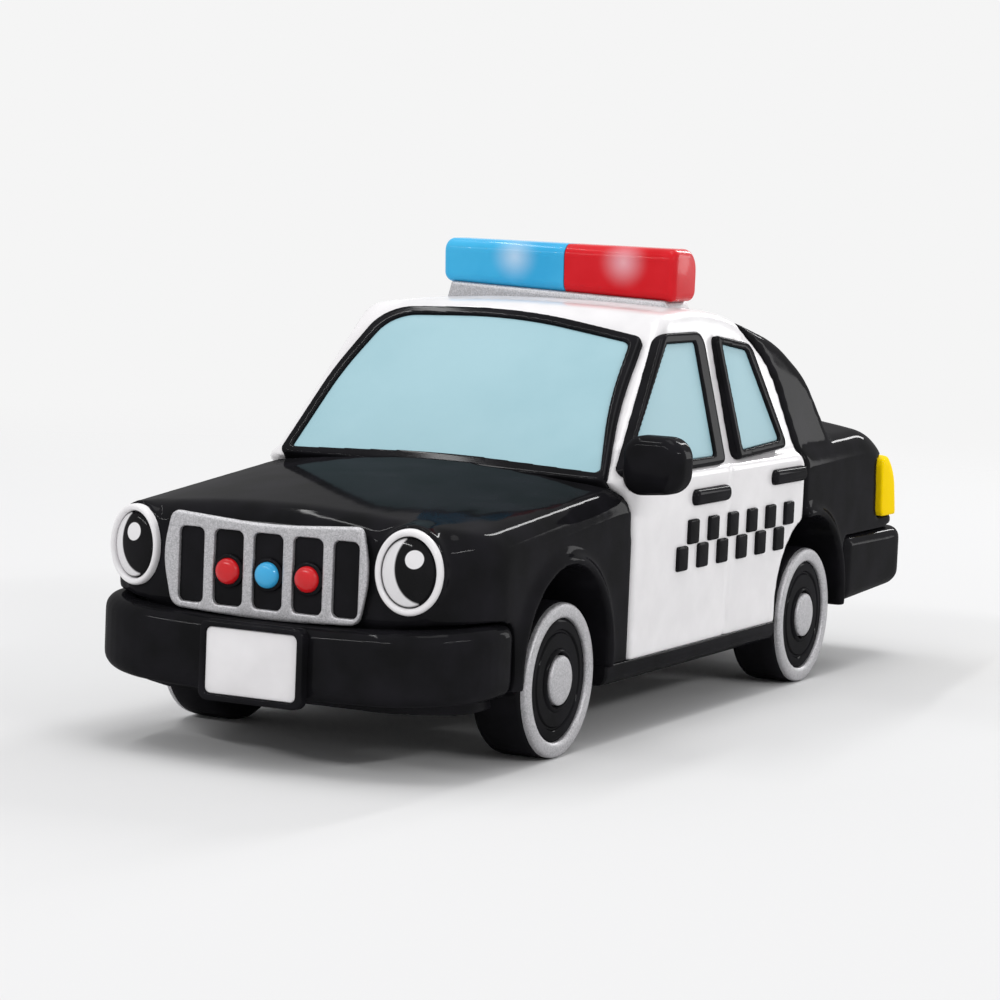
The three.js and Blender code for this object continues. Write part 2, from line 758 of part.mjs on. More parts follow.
// A round piece on the headlight's axis, which points forwards and a little outwards.
function onHeadlight(profile) {
  const geometry = turned(profile, 20).rotateX(Math.PI / 2);
  geometry.scale(headlightAspect, 1, 1);
  geometry.rotateZ(THREE.MathUtils.degToRad(headlightSplay));
  return toSolid(geometry.translate(headlightX, noseY + endSweep(headlightX, true), headlightHeight));
}

const podFace = 0.1;
const headlightSeat = podFace + gap;
const lensRadius = headlightRadius - headlightBand - gap;

// A pod of the front shell stands behind each headlight.
function headlightPods() {
  const radius = headlightRadius + headlightPod;
  const back = -2 * wall;
  return onHeadlight([[0, back], [radius, back], [radius, -podFace], [radius - 0.3, podFace], [0, podFace]]);
}

// Shells

const frontPost = post(frontPostY, bonnetFront);
const rearPost = post(rearPostY, bootHeight - wall / 2);
const eyeletHoleInRoof = toSolid(rod(eyeletStem + gap, beltHeight, roofHeight)).translate([0, hangerY, 0]);

function frontShell() {
  const hollow = bumperHollow(frontBumperBottom, frontBumperHeight).subtract(frontLiner);
  return bodyOuter
    .intersect(before(0))
    .subtract(hollow)
    .add(archLips(frontAxleY).subtract(bodyInner))
    .add(bothSides(headlightPods()).subtract(bodyInner))
    .add(frontPost)
    .intersect(above(shellBottom))
    .subtract(white(gap + frameProud))
    .subtract(frontWell)
    .subtract(axleSlot(frontAxleY))
    .subtract(bumperPocket(frontBumper))
    .subtract(pilot(frontPostY));
}

function cabinShell() {
  const linerClearance = well(rearAxleY, linerWall + gap, doorInside);
  const shell = doors(0)
    .add(cabinOuter.intersect(white(0)).intersect(above(beltHeight - sillHeight)))
    .subtract(doorRoom)
    .subtract(cabinInner);
  const sideOpenings = (plane, back) => opening(frontSideFrame(back), plane)
    .add(opening(rearSideFrame(), plane));
  return shell
    .subtract(opening(windscreenFrame, windscreenPlane))
    .subtract(sideOpenings(leftPlane, 0))
    .subtract(mirroredX(sideOpenings(rightPlane, pillarExtraRight)))
    .subtract(handlePockets)
    .subtract(rearWell)
    .subtract(linerClearance)
    .subtract(cableHole);
}

function rearShell() {
  const hollow = bumperHollow(rearBumperBottom, rearBumperHeight).add(cabinInner).subtract(rearLiner);
  const lipBehind = doorRearY + gap;
  const liner = well(rearAxleY, linerWall, doorInside - gap).intersect(before(lipBehind + wall));
  return bodyOuter
    .add(cabinOuter.intersect(above(beltHeight - sillHeight)))
    .intersect(behind(0))
    .subtract(hollow)
    .add(archLips(rearAxleY).subtract(bodyInner))
    .add(rearPost)
    .add(bumperCore.intersect(box(-deep, deep, floorRear + gap, long, shellBottom, shellBottom + wall)))
    .subtract(white(gap))
    .add(liner)
    .intersect(above(shellBottom))
    .subtract(rearWell)
    .subtract(axleSlot(rearAxleY))
    .subtract(bumperPocket(rearBumper))
    .subtract(opening(rearFrame, rearWindowPlane))
    .subtract(tailLamp(gap))
    .subtract(eyeletHoleInRoof)
    .subtract(pilot(rearPostY));
}

// Tail lamps follow the rear corners of the body

function tailLamp(grow) {
  const shape = outline([
    [tailLampFront, tailLampBottom, 1],
    [tailLampFront + tailLampLength, tailLampBottom, 1],
    [tailLampFront + tailLampLength, tailLampBottom + tailLampHeight, 1.2],
    [tailLampFront - 0.6, tailLampBottom + tailLampHeight, 1.2],
  ]);
  const reach = toSolid(slab(shape, sideView, bodyHalfWidth - bodyEdge, deep, { grow }));
  return bothSides(reach.intersect(body(tailLampProud + grow)).subtract(body(-tailLampProud - grow)));
}

const lamps = tailLamp(0);
addPair("tail_lamp", lamps.intersect(box(0, deep, -long, long, -long, long)), "lamp_amber");
addPiece("front_shell", frontShell(), "gloss_black");
addPiece("cabin_shell", cabinShell(), "gloss_white");
addPiece("rear_shell", rearShell(), "gloss_black");

// Door mirror, on the left side only

function mirror() {
  const inner = bodyHalfWidth + mirrorStandOff;
  const shape = outline([
    [inner, mirrorHeight - mirrorTall / 2, 2],
    [inner + mirrorSpan, mirrorHeight - mirrorTall / 2 + 0.6, 2.2],
    [inner + mirrorSpan, mirrorHeight + mirrorTall / 2, 2.2],
    [inner, mirrorHeight + mirrorTall / 2, 2],
  ]);
  const half = mirrorDepth / 2;
  const pod = toSolid(slab(shape, frontView, -mirrorY - half, -mirrorY + half, { edge: 1.2, rounds: 2 }));
  const stalk = box(cabinHalfWidth - wall, inner + mirrorSpan / 2, mirrorY - 0.6, mirrorY + 0.8,
    mirrorHeight - mirrorTall / 2 + 0.5, mirrorHeight - 0.2);
  const frameSeat = toSolid(slab(frontSideFrame(0), leftPlane, -wall, frameProud + gap, { grow: gap }));
  const clear = cabin(2 * gap).add(doors(gap)).add(frameSeat);
  return pod.add(stalk).subtract(clear).subtract(bodySeat);
}

addPiece("mirror_left", mirror(), "gloss_black");

// Grille, lamps, number plate and headlights

const grilleBack = noseY - gap;
const grilleFront = grilleBack - grilleDepth;

function grille() {
  const top = grilleBottom + grilleHeight;
  const waist = grilleBottom + 0.55 * grilleHeight;
  const half = [
    [grilleHalfWidth - 1, grilleBottom + 0.5, 1.2],
    [grilleHalfWidth, waist, 12],
    [grilleHalfWidth - 0.9, top, 0.8],
  ];
  const shape = outline(mirroredCorners(half, [[0, top - 0.7, 60]]));
  const frame = toSolid(slab(shape, frontView, -grilleBack, -grilleFront, { edge: 0.25 }));
  const limit = grilleHalfWidth - grilleBand;
  const slotHalf = (grillePitch - grilleBar) / 2;
  const slotBottom = grilleBottom + 0.8 * grilleBand;
  const slotTop = top - 1.3 * grilleBand;
  let pierced = frame;
  for (let i = 0; i < grilleSlots; i += 1) {
    const middle = (i - (grilleSlots - 1) / 2) * grillePitch;
    const right = Math.max(-limit, middle - slotHalf);
    const left = Math.min(limit, middle + slotHalf);
    const slot = outline([
      [right, slotBottom, 0.5], [left, slotBottom, 0.5], [left, slotTop, 0.5], [right, slotTop, 0.5],
    ]);
    pierced = pierced.subtract(toSolid(slab(slot, frontView, -noseY, -grilleFront + 1, { segments: 1 })));
  }
  return pierced;
}

addPiece("grille_frame", grille(), "silver_paint");

function grilleLamp(x) {
  return toSolid(turned([
    [0, 0], [lampRadius, 0], [lampRadius, 0.6 * lampDepth],
    [0.75 * lampRadius, 0.9 * lampDepth], [0, lampDepth],
  ], 16).rotateX(Math.PI / 2).translate(x, grilleBack, lampHeight));
}

addPiece("grille_lamp_right", grilleLamp(-grillePitch), "lamp_red");
addPiece("grille_lamp_middle", grilleLamp(0), "lamp_blue");
addPiece("grille_lamp_left", grilleLamp(grillePitch), "lamp_red");

const plateBack = frontBumperY - gap;

// A rounded plate that is smaller by an inset all round.
function plateSlab(from, to, inset, round, edge) {
  const half = plateFrameHalfWidth - inset;
  const low = plateFrameBottom + inset;
  const high = plateFrameBottom + plateFrameHeight - inset;
  const shape = outline(mirroredCorners([[half, low, round], [half, high, round]], []));
  return toSolid(slab(shape, frontView, -plateBack + from, -plateBack + to, { edge, segments: 1 }));
}

const plateSeat = plateFrameDepth / 2;
addPiece("number_plate_frame", plateSlab(0, plateFrameDepth, 0, 0.8, 0.3)
  .subtract(plateSlab(plateSeat - gap, 2 * plateFrameDepth, plateFrameBand, 0.5, 0)), "gloss_black");
const plateFace = plateFrameDepth - gap / 2;
addPiece("number_plate", plateSlab(plateSeat, plateFace, plateFrameBand + gap, 0.3, 0), "gloss_white");

addPair("headlight_bezel", onHeadlight([
  [headlightRadius - headlightBand, headlightSeat], [headlightRadius, headlightSeat],
  [headlightRadius, headlightProud - 0.15], [headlightRadius - headlightBand / 2, headlightProud],
  [headlightRadius - headlightBand, headlightProud - 0.15], [headlightRadius - headlightBand, headlightSeat],
]), "gloss_white");
addPair("headlight_lens", onHeadlight([
  [0, headlightSeat], [lensRadius, headlightSeat], [lensRadius, headlightSeat + 0.15],
  [0.7 * lensRadius, headlightSeat + 0.6 * lensDome], [0, headlightSeat + lensDome],
]), "gloss_black");

// Floor pan with bearings, battery holder, switch slot and screw holes

const cellBottom = sillBottom + capThickness + gap;
const cellTop = cellBottom + cellThickness;
const contactTop = cellTop + gap + contactThickness;
const boardBottom = contactTop + gap;
const holderTop = boardBottom - gap;
const holderInner = cellRadius + gap;
const holderOuter = capRadius + gap + wall;
const sliderHalf = sliderWidth / 2;
const sliderRestX = -switchTravel / 2;
const switchBottom = sillTop + gap;

function floorPan() {
  const section = outline(mirroredCorners(
    [[bodyHalfWidth, sillBottom, sillEdge], [bodyHalfWidth, sillTop, sillTopEdge]], []));
  const slabSolid = toSolid(slab(section, frontView, -floorRear, -noseY));
  const middle = bodyOuter.intersect(behind(frontAxleY)).intersect(before(rearAxleY));
  let pan = slabSolid.intersect(middle.add(body(-bumperInlay - 2 * gap)));
  for (const axleY of [frontAxleY, rearAxleY]) {
    const half = axleBearingWidth / 2;
    pan = pan.add(box(-axleBearingLength / 2, axleBearingLength / 2, axleY - half, axleY + half,
      sillBottom, wheelRadius + axleRadius + wall));
  }
  pan = pan.add(toSolid(rod(holderOuter, sillBottom, holderTop, 32)).translate([0, cellY, 0]));
  const linerSeats = well(frontAxleY, linerWall + gap, deep).add(well(rearAxleY, linerWall + gap, deep));
  pan = pan.subtract(frontWell).subtract(rearWell).subtract(linerSeats.intersect(above(sillTop)));
  for (const axleY of [frontAxleY, rearAxleY]) {
    const bore = rod(axleRadius + axleClearance, -deep, deep, 24).rotateY(Math.PI / 2);
    pan = pan.subtract(toSolid(bore).translate([0, axleY, wheelRadius]));
  }
  pan = pan.subtract(toSolid(rod(capRadius + gap, 0, cellBottom - gap / 2, 32)).translate([0, cellY, 0]));
  pan = pan.subtract(toSolid(rod(holderInner, 0, long, 32)).translate([0, cellY, 0]));
  const slot = switchTravel / 2 + sliderHalf + gap;
  pan = pan.subtract(box(-slot, slot, switchY - sliderHalf - gap, switchY + sliderHalf + gap, 0, long));
  for (const y of [frontPostY, rearPostY]) {
    pan = pan.subtract(toSolid(rod(screwRadius + gap, 0, long, 12)).translate([0, y, 0]));
    pan = pan.subtract(toSolid(rod(screwHeadRadius + gap, 0, sillBottom + 1, 16)).translate([0, y, 0]));
  }
  return pan;
}

addPiece("floor_pan", floorPan(), "gloss_black");

function screw(y) {
  return toSolid(turned([
    [0, sillBottom], [screwHeadRadius, sillBottom], [screwHeadRadius, sillBottom + 1 - gap],
    [screwRadius, sillBottom + 1 - gap], [screwRadius, sillBottom + screwLength - 1],
    [0, sillBottom + screwLength],
  ], 16)).translate([0, y, 0]);
}

addPiece("front_screw", screw(frontPostY), "steel");
addPiece("rear_screw", screw(rearPostY), "steel");

// Battery, cap, contact, circuit board and switch

addPiece("coin_cell", toSolid(turned([
  [0, cellBottom], [cellRadius - 0.6, cellBottom], [cellRadius - 0.2, cellBottom + 0.6],
  [cellRadius, cellBottom + 0.6], [cellRadius, cellTop], [0, cellTop],
], 32)).translate([0, cellY, 0]), "steel");

const coinSlot = box(-4.5, 4.5, cellY - 0.9, cellY + 0.9, 0, sillBottom + 0.7);
addPiece("battery_cap", toSolid(rod(capRadius, sillBottom, sillBottom + capThickness, 32))
  .translate([0, cellY, 0]).subtract(coinSlot), "gloss_black");

const contactHalf = cellRadius / 2;
addPiece("battery_contact", box(-contactHalf, contactHalf, cellY - 2.5, cellY + 2.5,
  cellTop + gap, contactTop), "steel");

const boardFrontY = cellY - cellRadius + 1;
addPiece("circuit_board", box(-boardHalfWidth, boardHalfWidth, boardFrontY, boardFrontY + boardLength,
  boardBottom, boardBottom + boardThickness)
  .add(box(-4.2, 4.2, switchY - 2, switchY + 2, switchBottom + gap, boardBottom + boardThickness / 2))
  .add(box(-3, 3, cellY - 2.5, cellY + 2.5, boardBottom, boardBottom + boardThickness + 1.2)), "board_green");

addPiece("switch_slider", box(sliderRestX - sliderHalf, sliderRestX + sliderHalf, switchY - sliderHalf,
  switchY + sliderHalf, sillBottom - 0.5, switchBottom), "gloss_white");

// The lamp cable climbs from the circuit board to the light bar
const cableFoot = boardBottom + boardThickness + gap;
const cablePath = new THREE.CatmullRomCurve3([
  new THREE.Vector3(0, barCentreY, cableFoot),
  new THREE.Vector3(0, barCentreY, cableFoot + 6),
  new THREE.Vector3(1.6, barCentreY - 1.6, (cableFoot + roofHeight) / 2),
  new THREE.Vector3(0, barCentreY, roofHeight - 6),
  new THREE.Vector3(0, barCentreY, barBottom),
]);
const cableSection = new THREE.Shape().absarc(0, 0, cableRadius, 0, 2 * Math.PI, false);
addPiece("lamp_cable", toSolid(new THREE.ExtrudeGeometry(cableSection, {
  extrudePath: cablePath, steps: 16, curveSegments: 4,
})), "gloss_black");

// Wheels, rings and axles, turned about the axle

function onAxle(geometry, axleY) {
  return toSolid(geometry.rotateY(Math.PI / 2).translate(0, axleY, wheelRadius));
}

const discFace = wheelFace + discRise;
const wheelBack = wheelFace - wheelWidth;
const wheelBore = axleRadius + gap;
const ringSeat = wheelFace + gap;
const hubSeat = discFace + gap;
const hubFace = hubSeat + hubThickness;
const tyreRound = 0.7;
const discRim = ringInner - gap;

const wheelProfile = [
  [wheelBore, wheelBack],
  [wheelRadius - 1.2, wheelBack],
  [wheelRadius, wheelBack + 1],
  [wheelRadius, wheelFace - tyreRound],
  [wheelRadius - 0.3, wheelFace],
  [discRim, wheelFace],
  [discRim - 0.2, discFace],
  [wheelBore, discFace],
  [wheelBore, wheelBack],
];
const ringProfile = [
  [ringInner, ringSeat],
  [ringOuter, ringSeat],
  [ringOuter - 0.4, ringSeat + ringThickness],
  [ringInner + 0.3, ringSeat + ringThickness],
  [ringInner, ringSeat],
];
const axleHalf = [
  [axleRadius, hubSeat],
  [hubRadius, hubSeat],
  [hubRadius, hubFace - 0.2],
  [0.9 * hubRadius, hubFace],
  [0, hubFace],
];
const axleProfile = [
  ...axleHalf.map(([radius, x]) => [radius, -x]).reverse(),
  ...axleHalf,
];

for (const [end, axleY] of [["front", frontAxleY], ["rear", rearAxleY]]) {
  addPair(`${end}_wheel`, onAxle(turned(wheelProfile, 24), axleY), "gloss_black");
  addPair(`${end}_wheel_ring`, onAxle(turned(ringProfile, 24), axleY), "silver_paint");
  addPiece(`${end}_axle`, onAxle(turned(axleProfile, 16), axleY), "silver_paint");
}

// The origin lies under the middle of the whole outline, which reaches out to the mirror on one side only.
const outlineMiddle = (mirrorStandOff + mirrorSpan - handleProud) / 2;
for (const mesh of car.children) mesh.position.x -= outlineMiddle;

export default car;
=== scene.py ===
import bpy
import math
from mathutils import Matrix, Vector


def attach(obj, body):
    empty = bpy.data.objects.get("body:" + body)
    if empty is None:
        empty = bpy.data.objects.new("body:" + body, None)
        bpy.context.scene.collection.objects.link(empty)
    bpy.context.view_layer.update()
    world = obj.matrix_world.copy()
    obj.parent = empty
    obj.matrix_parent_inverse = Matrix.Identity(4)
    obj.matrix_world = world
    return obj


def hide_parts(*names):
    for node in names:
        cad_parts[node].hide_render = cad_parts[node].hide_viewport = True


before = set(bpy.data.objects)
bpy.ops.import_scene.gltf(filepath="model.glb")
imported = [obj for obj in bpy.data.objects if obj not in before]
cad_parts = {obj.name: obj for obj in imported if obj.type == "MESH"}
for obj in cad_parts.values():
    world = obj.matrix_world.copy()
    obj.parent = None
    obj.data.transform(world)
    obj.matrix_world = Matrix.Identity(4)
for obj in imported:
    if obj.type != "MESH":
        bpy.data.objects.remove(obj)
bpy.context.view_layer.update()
print("frame loaded")

mm = 0.001
scene = bpy.context.scene
scene.view_settings.view_transform = "Standard"
mirrorX = Matrix.Diagonal((-1, 1, 1, 1))
middle = Vector((-2.7, 0, 0))  # the car's middle plane, beside the origin


# selection, modifiers and small tools

def clearSelection():
    if bpy.context.mode != "OBJECT":
        bpy.ops.object.mode_set(mode="OBJECT")
    bpy.ops.object.select_all(action="DESELECT")


def pick(piece):
    clearSelection()
    piece.select_set(True)
    bpy.context.view_layer.objects.active = piece


def applyModifier(piece, kind, **settings):
    pick(piece)
    modifier = piece.modifiers.new(kind.lower(), kind)
    for key, value in settings.items():
        setattr(modifier, key, value)
    bpy.ops.object.modifier_apply(modifier=modifier.name)


def cut(piece, tool, operation="DIFFERENCE"):
    applyModifier(piece, "BOOLEAN", operation=operation, object=tool, solver="MANIFOLD")
    bpy.data.objects.remove(tool, do_unlink=True)


def join(piece, tool):
    cut(piece, tool, "UNION")


def soften(piece, voxel, passes):  # one cast skin with soft edges
    applyModifier(piece, "REMESH", mode="VOXEL", voxel_size=voxel * mm, adaptivity=0)
    applyModifier(piece, "SMOOTH", factor=0.5, iterations=passes)
    pick(piece)
    bpy.ops.object.shade_smooth()


def smoothByAngle(piece, degrees=35):
    pick(piece)
    bpy.ops.object.shade_smooth_by_angle(angle=math.radians(degrees))


def reshape(piece, move):  # moves every point, in millimetres
    for vert in piece.data.vertices:
        vert.co = Vector(move(*(vert.co / mm))) * mm


def slicePiece(piece, direction, places):
    pick(piece)
    bpy.ops.object.mode_set(mode="EDIT")
    for place in places:
        bpy.ops.mesh.select_all(action="SELECT")
        bpy.ops.mesh.bisect(plane_co=Vector(direction) * place * mm, plane_no=direction)
    bpy.ops.object.mode_set(mode="OBJECT")


def copyPiece(piece, name, matrix):
    double = piece.copy()
    double.data = piece.data.copy()
    double.name = double.data.name = name
    scene.collection.objects.link(double)
    double.data.transform(matrix)
    if matrix.determinant() < 0:
        double.data.flip_normals()
    return double


def shrink(points, by):  # the same outline, moved inwards
    area = sum(a.x * b.y - b.x * a.y for a, b in zip(points, points[1:] + points[:1]))
    inner = []
    for i, here in enumerate(points):
        along = (points[(i + 1) % len(points)] - points[i - 1]).normalized()
        inner.append(here + Vector((-along.y, along.x)) * math.copysign(by, area))
    return inner


def outline(corners, steps=8, share=0.49):  # corners are (across, up, fillet radius)
    points = []
    for i, (a, b, radius) in enumerate(corners):
        here = Vector((a, b))
        back = Vector(corners[i - 1][:2]) - here
        on = Vector(corners[(i + 1) % len(corners)][:2]) - here
        half = back.angle(on) / 2
        reach = min(radius / math.tan(half), share * back.length, share * on.length)
        if reach < 0.01:
            points.append(here)
            continue
        back.normalize()
        on.normalize()
        centre = here + (back + on).normalized() * (reach / math.cos(half))
        start = here + back * reach - centre
        turn = math.pi - 2 * half
        if back.x * on.y - back.y * on.x > 0:
            turn = -turn
        for k in range(steps + 1):
            points.append(centre + Matrix.Rotation(turn * k / steps, 2) @ start)
    return points


def mirrored(half):
    return half + [(-a, b, radius) for a, b, radius in reversed(half)]


def sideView(a, b, depth):
    return Vector((depth, a, b)) * mm


def frontView(a, b, depth):
    return Vector((a, -depth, b)) * mm


def planView(a, b, depth):
    return Vector((a, b, depth)) * mm


def planeView(origin, across, up):
    origin, across, up = Vector(origin), Vector(across).normalized(), Vector(up)
    normal = across.cross(up).normalized()
    up = normal.cross(across)
    return lambda a, b, depth: (origin + across * a + up * b + normal * depth) * mm


def slab(name, points, view, low, high, edge=0, segments=5):  # an outline drawn out, edges rounded
    clearSelection()
    bpy.ops.mesh.primitive_circle_add(vertices=len(points), radius=mm, fill_type="NGON")
    piece = bpy.context.object
    piece.name = piece.data.name = name
    for vert, (a, b) in zip(piece.data.vertices, points):
        vert.co = view(a, b, low)
    bpy.ops.object.mode_set(mode="EDIT")
    bpy.ops.mesh.select_all(action="SELECT")
    bpy.ops.mesh.extrude_region_move(TRANSFORM_OT_translate={"value": view(0, 0, high) - view(0, 0, low)})
    bpy.ops.mesh.select_all(action="SELECT")
    bpy.ops.mesh.normals_make_consistent(inside=False)
    bpy.ops.object.mode_set(mode="OBJECT")
    if edge:
        applyModifier(piece, "BEVEL", width=edge * mm, segments=segments, limit_method="ANGLE",
                      angle_limit=0.7, use_clamp_overlap=False)
    return piece


def rectangle(across, up, radius=0):
    (a0, a1), (b0, b1) = across, up
    return [(a0, b0, radius), (a1, b0, radius), (a1, b1, radius), (a0, b1, radius)]


def block(name, x, y, z, edge=0, segments=4):
    return slab(name, outline(rectangle(x, y)), planView, z[0], z[1], edge, segments)


# the axis of a turned piece, and the way its section lies
forward = ((0, -1, 0), (1, 0, 0))
sideways = ((1, 0, 0), (0, 0, 1))
upright = ((0, 0, 1), (1, 0, 0))


def drum(radius, low, high):
    return [(0, low), (radius, low), (radius, high), (0, high)]


def turned(name, section, centre, spindle, steps=96):  # section is (radius, along the axis)
    centre, axis, out = Vector(centre), Vector(spindle[0]), Vector(spindle[1])
    clearSelection()
    bpy.ops.mesh.primitive_circle_add(vertices=len(section), radius=mm, fill_type="NOTHING")
    piece = bpy.context.object
    piece.name = piece.data.name = name
    for vert, (radius, along) in zip(piece.data.vertices, section):
        vert.co = (centre + axis * along + out * radius) * mm
    bpy.ops.object.mode_set(mode="EDIT")
    bpy.ops.mesh.select_all(action="SELECT")
    bpy.ops.mesh.spin(steps=steps, angle=2 * math.pi, center=centre * mm, axis=axis)
    bpy.ops.mesh.select_all(action="SELECT")
    bpy.ops.mesh.remove_doubles(threshold=0.002 * mm)
    bpy.ops.mesh.normals_make_consistent(inside=False)
    bpy.ops.object.mode_set(mode="OBJECT")
    smoothByAngle(piece, 40)
    return piece


def finishPiece(piece, body, slotName, material, *nodes):
    piece.data.transform(Matrix.Translation(middle * mm))
    piece.data.materials.clear()
    piece.data.materials.append(material)
    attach(piece, body)
    if nodes:
        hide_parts(*nodes)


def smoothStep(value, low, high):
    t = min(max((value - low) / (high - low), 0), 1)
    return t * t * (3 - 2 * t)


# paints and plastics, all patterns in Object coordinates

def newPaint(name, **sockets):
    material = bpy.data.materials.new(name)
    material.use_nodes = True
    nodes, links = material.node_tree.nodes, material.node_tree.links
    shader = nodes["Principled BSDF"]
    for key, value in sockets.items():
        shader.inputs[key.replace("_", " ")].default_value = value
    return material, nodes, links, shader


def objectPlace(nodes):
    return nodes.new("ShaderNodeTexCoord").outputs["Object"]


def addTones(paint, pattern, colours, span=(0, 1)):
    nodes, links, shader = paint[1:]
    ramp = nodes.new("ShaderNodeValToRGB")
    for element, colour, position in zip(ramp.color_ramp.elements, colours, span):
        element.position = position
        element.color = (*colour, 1)
    links.new(pattern, ramp.inputs["Fac"])
    links.new(ramp.outputs["Color"], shader.inputs["Base Color"])
    return ramp.outputs["Color"]


def addGloss(paint, pattern, roughness, span=(0, 1)):
    nodes, links, shader = paint[1:]
    gloss = nodes.new("ShaderNodeMapRange")
    for key, value in zip(("From Min", "From Max", "To Min", "To Max"), (*span, *roughness)):
        gloss.inputs[key].default_value = value
    links.new(pattern, gloss.inputs["Value"])
    links.new(gloss.outputs["Result"], shader.inputs["Roughness"])


def addRelief(paint, height, strength, depth):
    nodes, links, shader = paint[1:]
    relief = nodes.new("ShaderNodeBump")
    relief.inputs["Strength"].default_value = strength
    relief.inputs["Distance"].default_value = depth * mm
    links.new(height, relief.inputs["Height"])
    links.new(relief.outputs["Normal"], shader.inputs["Normal"])


brushwork = {"detail": 3, "toneSpan": (0.35, 0.68), "glossSpan": (0.3, 0.7),
             "skinScale": 2.3, "skinDepth": 0.2}


def brushedOn(paint, colours, roughness, bump, scale):  # uneven colour, gloss and skin of hand paint
    s = brushwork
    nodes, links = paint[1:3]
    place = objectPlace(nodes)
    noise = nodes.new("ShaderNodeTexNoise")
    noise.inputs["Scale"].default_value = scale
    noise.inputs["Detail"].default_value = s["detail"]
    links.new(place, noise.inputs["Vector"])
    tones = addTones(paint, noise.outputs["Fac"], colours, s["toneSpan"])
    addGloss(paint, noise.outputs["Fac"], roughness, s["glossSpan"])
    skin = nodes.new("ShaderNodeTexNoise")
    skin.inputs["Scale"].default_value = scale * s["skinScale"]
    links.new(place, skin.inputs["Vector"])
    addRelief(paint, skin.outputs["Fac"], bump, s["skinDepth"])
    return tones


def plainPaint(name, colours, roughness, bump, scale, **sockets):
    paint = newPaint(name, **sockets)
    brushedOn(paint, colours, roughness, bump, scale)
    return paint[0]


silverFlakes = {"metallic": 0.6, "scale": 9000, "tones": ((0.31, 0.31, 0.32), (0.6, 0.59, 0.61)),
                "roughness": (0.3, 0.55), "bump": 0.25, "depth": 0.05}


def silverPaint(name):  # fine flakes that catch the light one by one
    s = silverFlakes
    paint = newPaint(name, Metallic=s["metallic"])
    material, nodes, links = paint[:3]
    flakes = nodes.new("ShaderNodeTexVoronoi")
    flakes.inputs["Scale"].default_value = s["scale"]
    links.new(objectPlace(nodes), flakes.inputs["Vector"])
    addTones(paint, flakes.outputs["Color"], s["tones"])
    addGloss(paint, flakes.outputs["Color"], s["roughness"])
    addRelief(paint, flakes.outputs["Distance"], s["bump"], s["depth"])
    return material


def vectorStep(nodes, links, operation, value, constant=None):
    step = nodes.new("ShaderNodeVectorMath")
    step.operation = operation
    links.new(value, step.inputs[0])
    if constant is not None:
        step.inputs[1].default_value = constant
    return step.outputs


def softEdge(nodes, links, away, outer, inner):  # 1 within the inner distance, 0 past the outer one
    mask = nodes.new("ShaderNodeMapRange")
    mask.interpolation_type = "SMOOTHSTEP"
    mask.inputs["From Min"].default_value = outer
    mask.inputs["From Max"].default_value = inner
    links.new(away, mask.inputs["Value"])
    return mask.outputs["Result"]


def spotMask(nodes, links, point, inner, outer):  # 1 near a point of the piece, 0 away from it
    centre = (Vector(point) + middle) * mm
    away = vectorStep(nodes, links, "DISTANCE", objectPlace(nodes), centre)["Value"]
    return softEdge(nodes, links, away, outer * mm, inner * mm)


def ovalMask(nodes, links, point, half, soft=0.04):  # 1 inside an oval seen from the front
    centre = (Vector(point) + middle) * mm
    offset = vectorStep(nodes, links, "SUBTRACT", objectPlace(nodes), centre)["Vector"]
    size = (1 / (half[0] * mm), 0, 1 / (half[1] * mm))
    scaled = vectorStep(nodes, links, "MULTIPLY", offset, size)["Vector"]
    away = vectorStep(nodes, links, "LENGTH", scaled)["Value"]
    return softEdge(nodes, links, away, 1 + soft, 1 - soft)


def mixColour(nodes, links, mask, under, over):
    mix = nodes.new("ShaderNodeMix")
    mix.data_type = "RGBA"
    links.new(mask, mix.inputs["Factor"])
    links.new(under, mix.inputs["A"])
    mix.inputs["B"].default_value = (*over, 1)
    return mix.outputs["Result"]


lensPaint = {"roughness": (0.16, 0.24), "bump": 0.06, "scale": 180, "spotInner": -1.2, "spotOuter": 3.2}


def paintedGlowLens(name, colours, glow, spot):  # a coloured lens with a painted glow: a soft bright spot painted into its colour over its lamp
    s = lensPaint
    paint = newPaint(name, Specular_IOR_Level=0.05, Coat_Weight=0.12, Coat_Roughness=0.06)
    material, nodes, links, shader = paint
    colour = brushedOn(paint, colours, s["roughness"], s["bump"], s["scale"])
    # the glow is painted light: a pale colour mixed into the base colour round the lamp's place, brightest
    # over the lamp
    mask = spotMask(nodes, links, spot, s["spotInner"], s["spotOuter"])
    links.new(mixColour(nodes, links, mask, colour, glow), shader.inputs["Base Color"])
    return material


glossBlack = plainPaint("glossBlack", ((0.0065, 0.0065, 0.0072), (0.011, 0.0105, 0.0128)),
                        roughness=(0.16, 0.26), bump=0.1, scale=220,
                        Specular_IOR_Level=0.0, Coat_Weight=0.1, Coat_Roughness=0.06)
glossWhite = plainPaint("glossWhite", ((0.79, 0.775, 0.785), (0.85, 0.835, 0.845)),
                        roughness=(0.16, 0.26), bump=0.06, scale=240,
                        Specular_IOR_Level=0.2, Coat_Weight=0.25, Coat_Roughness=0.08)
skyPane = plainPaint("skyPane", ((0.335, 0.535, 0.595), (0.36, 0.56, 0.62)),
                     roughness=(0.3, 0.42), bump=0.05, scale=160, Specular_IOR_Level=0.12)
amberLens = plainPaint("amberLens", ((0.96, 0.64, 0.001), (1.0, 0.7, 0.002)),
                       roughness=(0.16, 0.24), bump=0.08, scale=200,
                       Specular_IOR_Level=0.0, Coat_Weight=0.06, Coat_Roughness=0.06)
redLamp = plainPaint("redLamp", ((0.58, 0.006, 0.01), (0.66, 0.01, 0.016)),
                     roughness=(0.14, 0.2), bump=0.05, scale=300, Specular_IOR_Level=0.2, Coat_Weight=0.4)
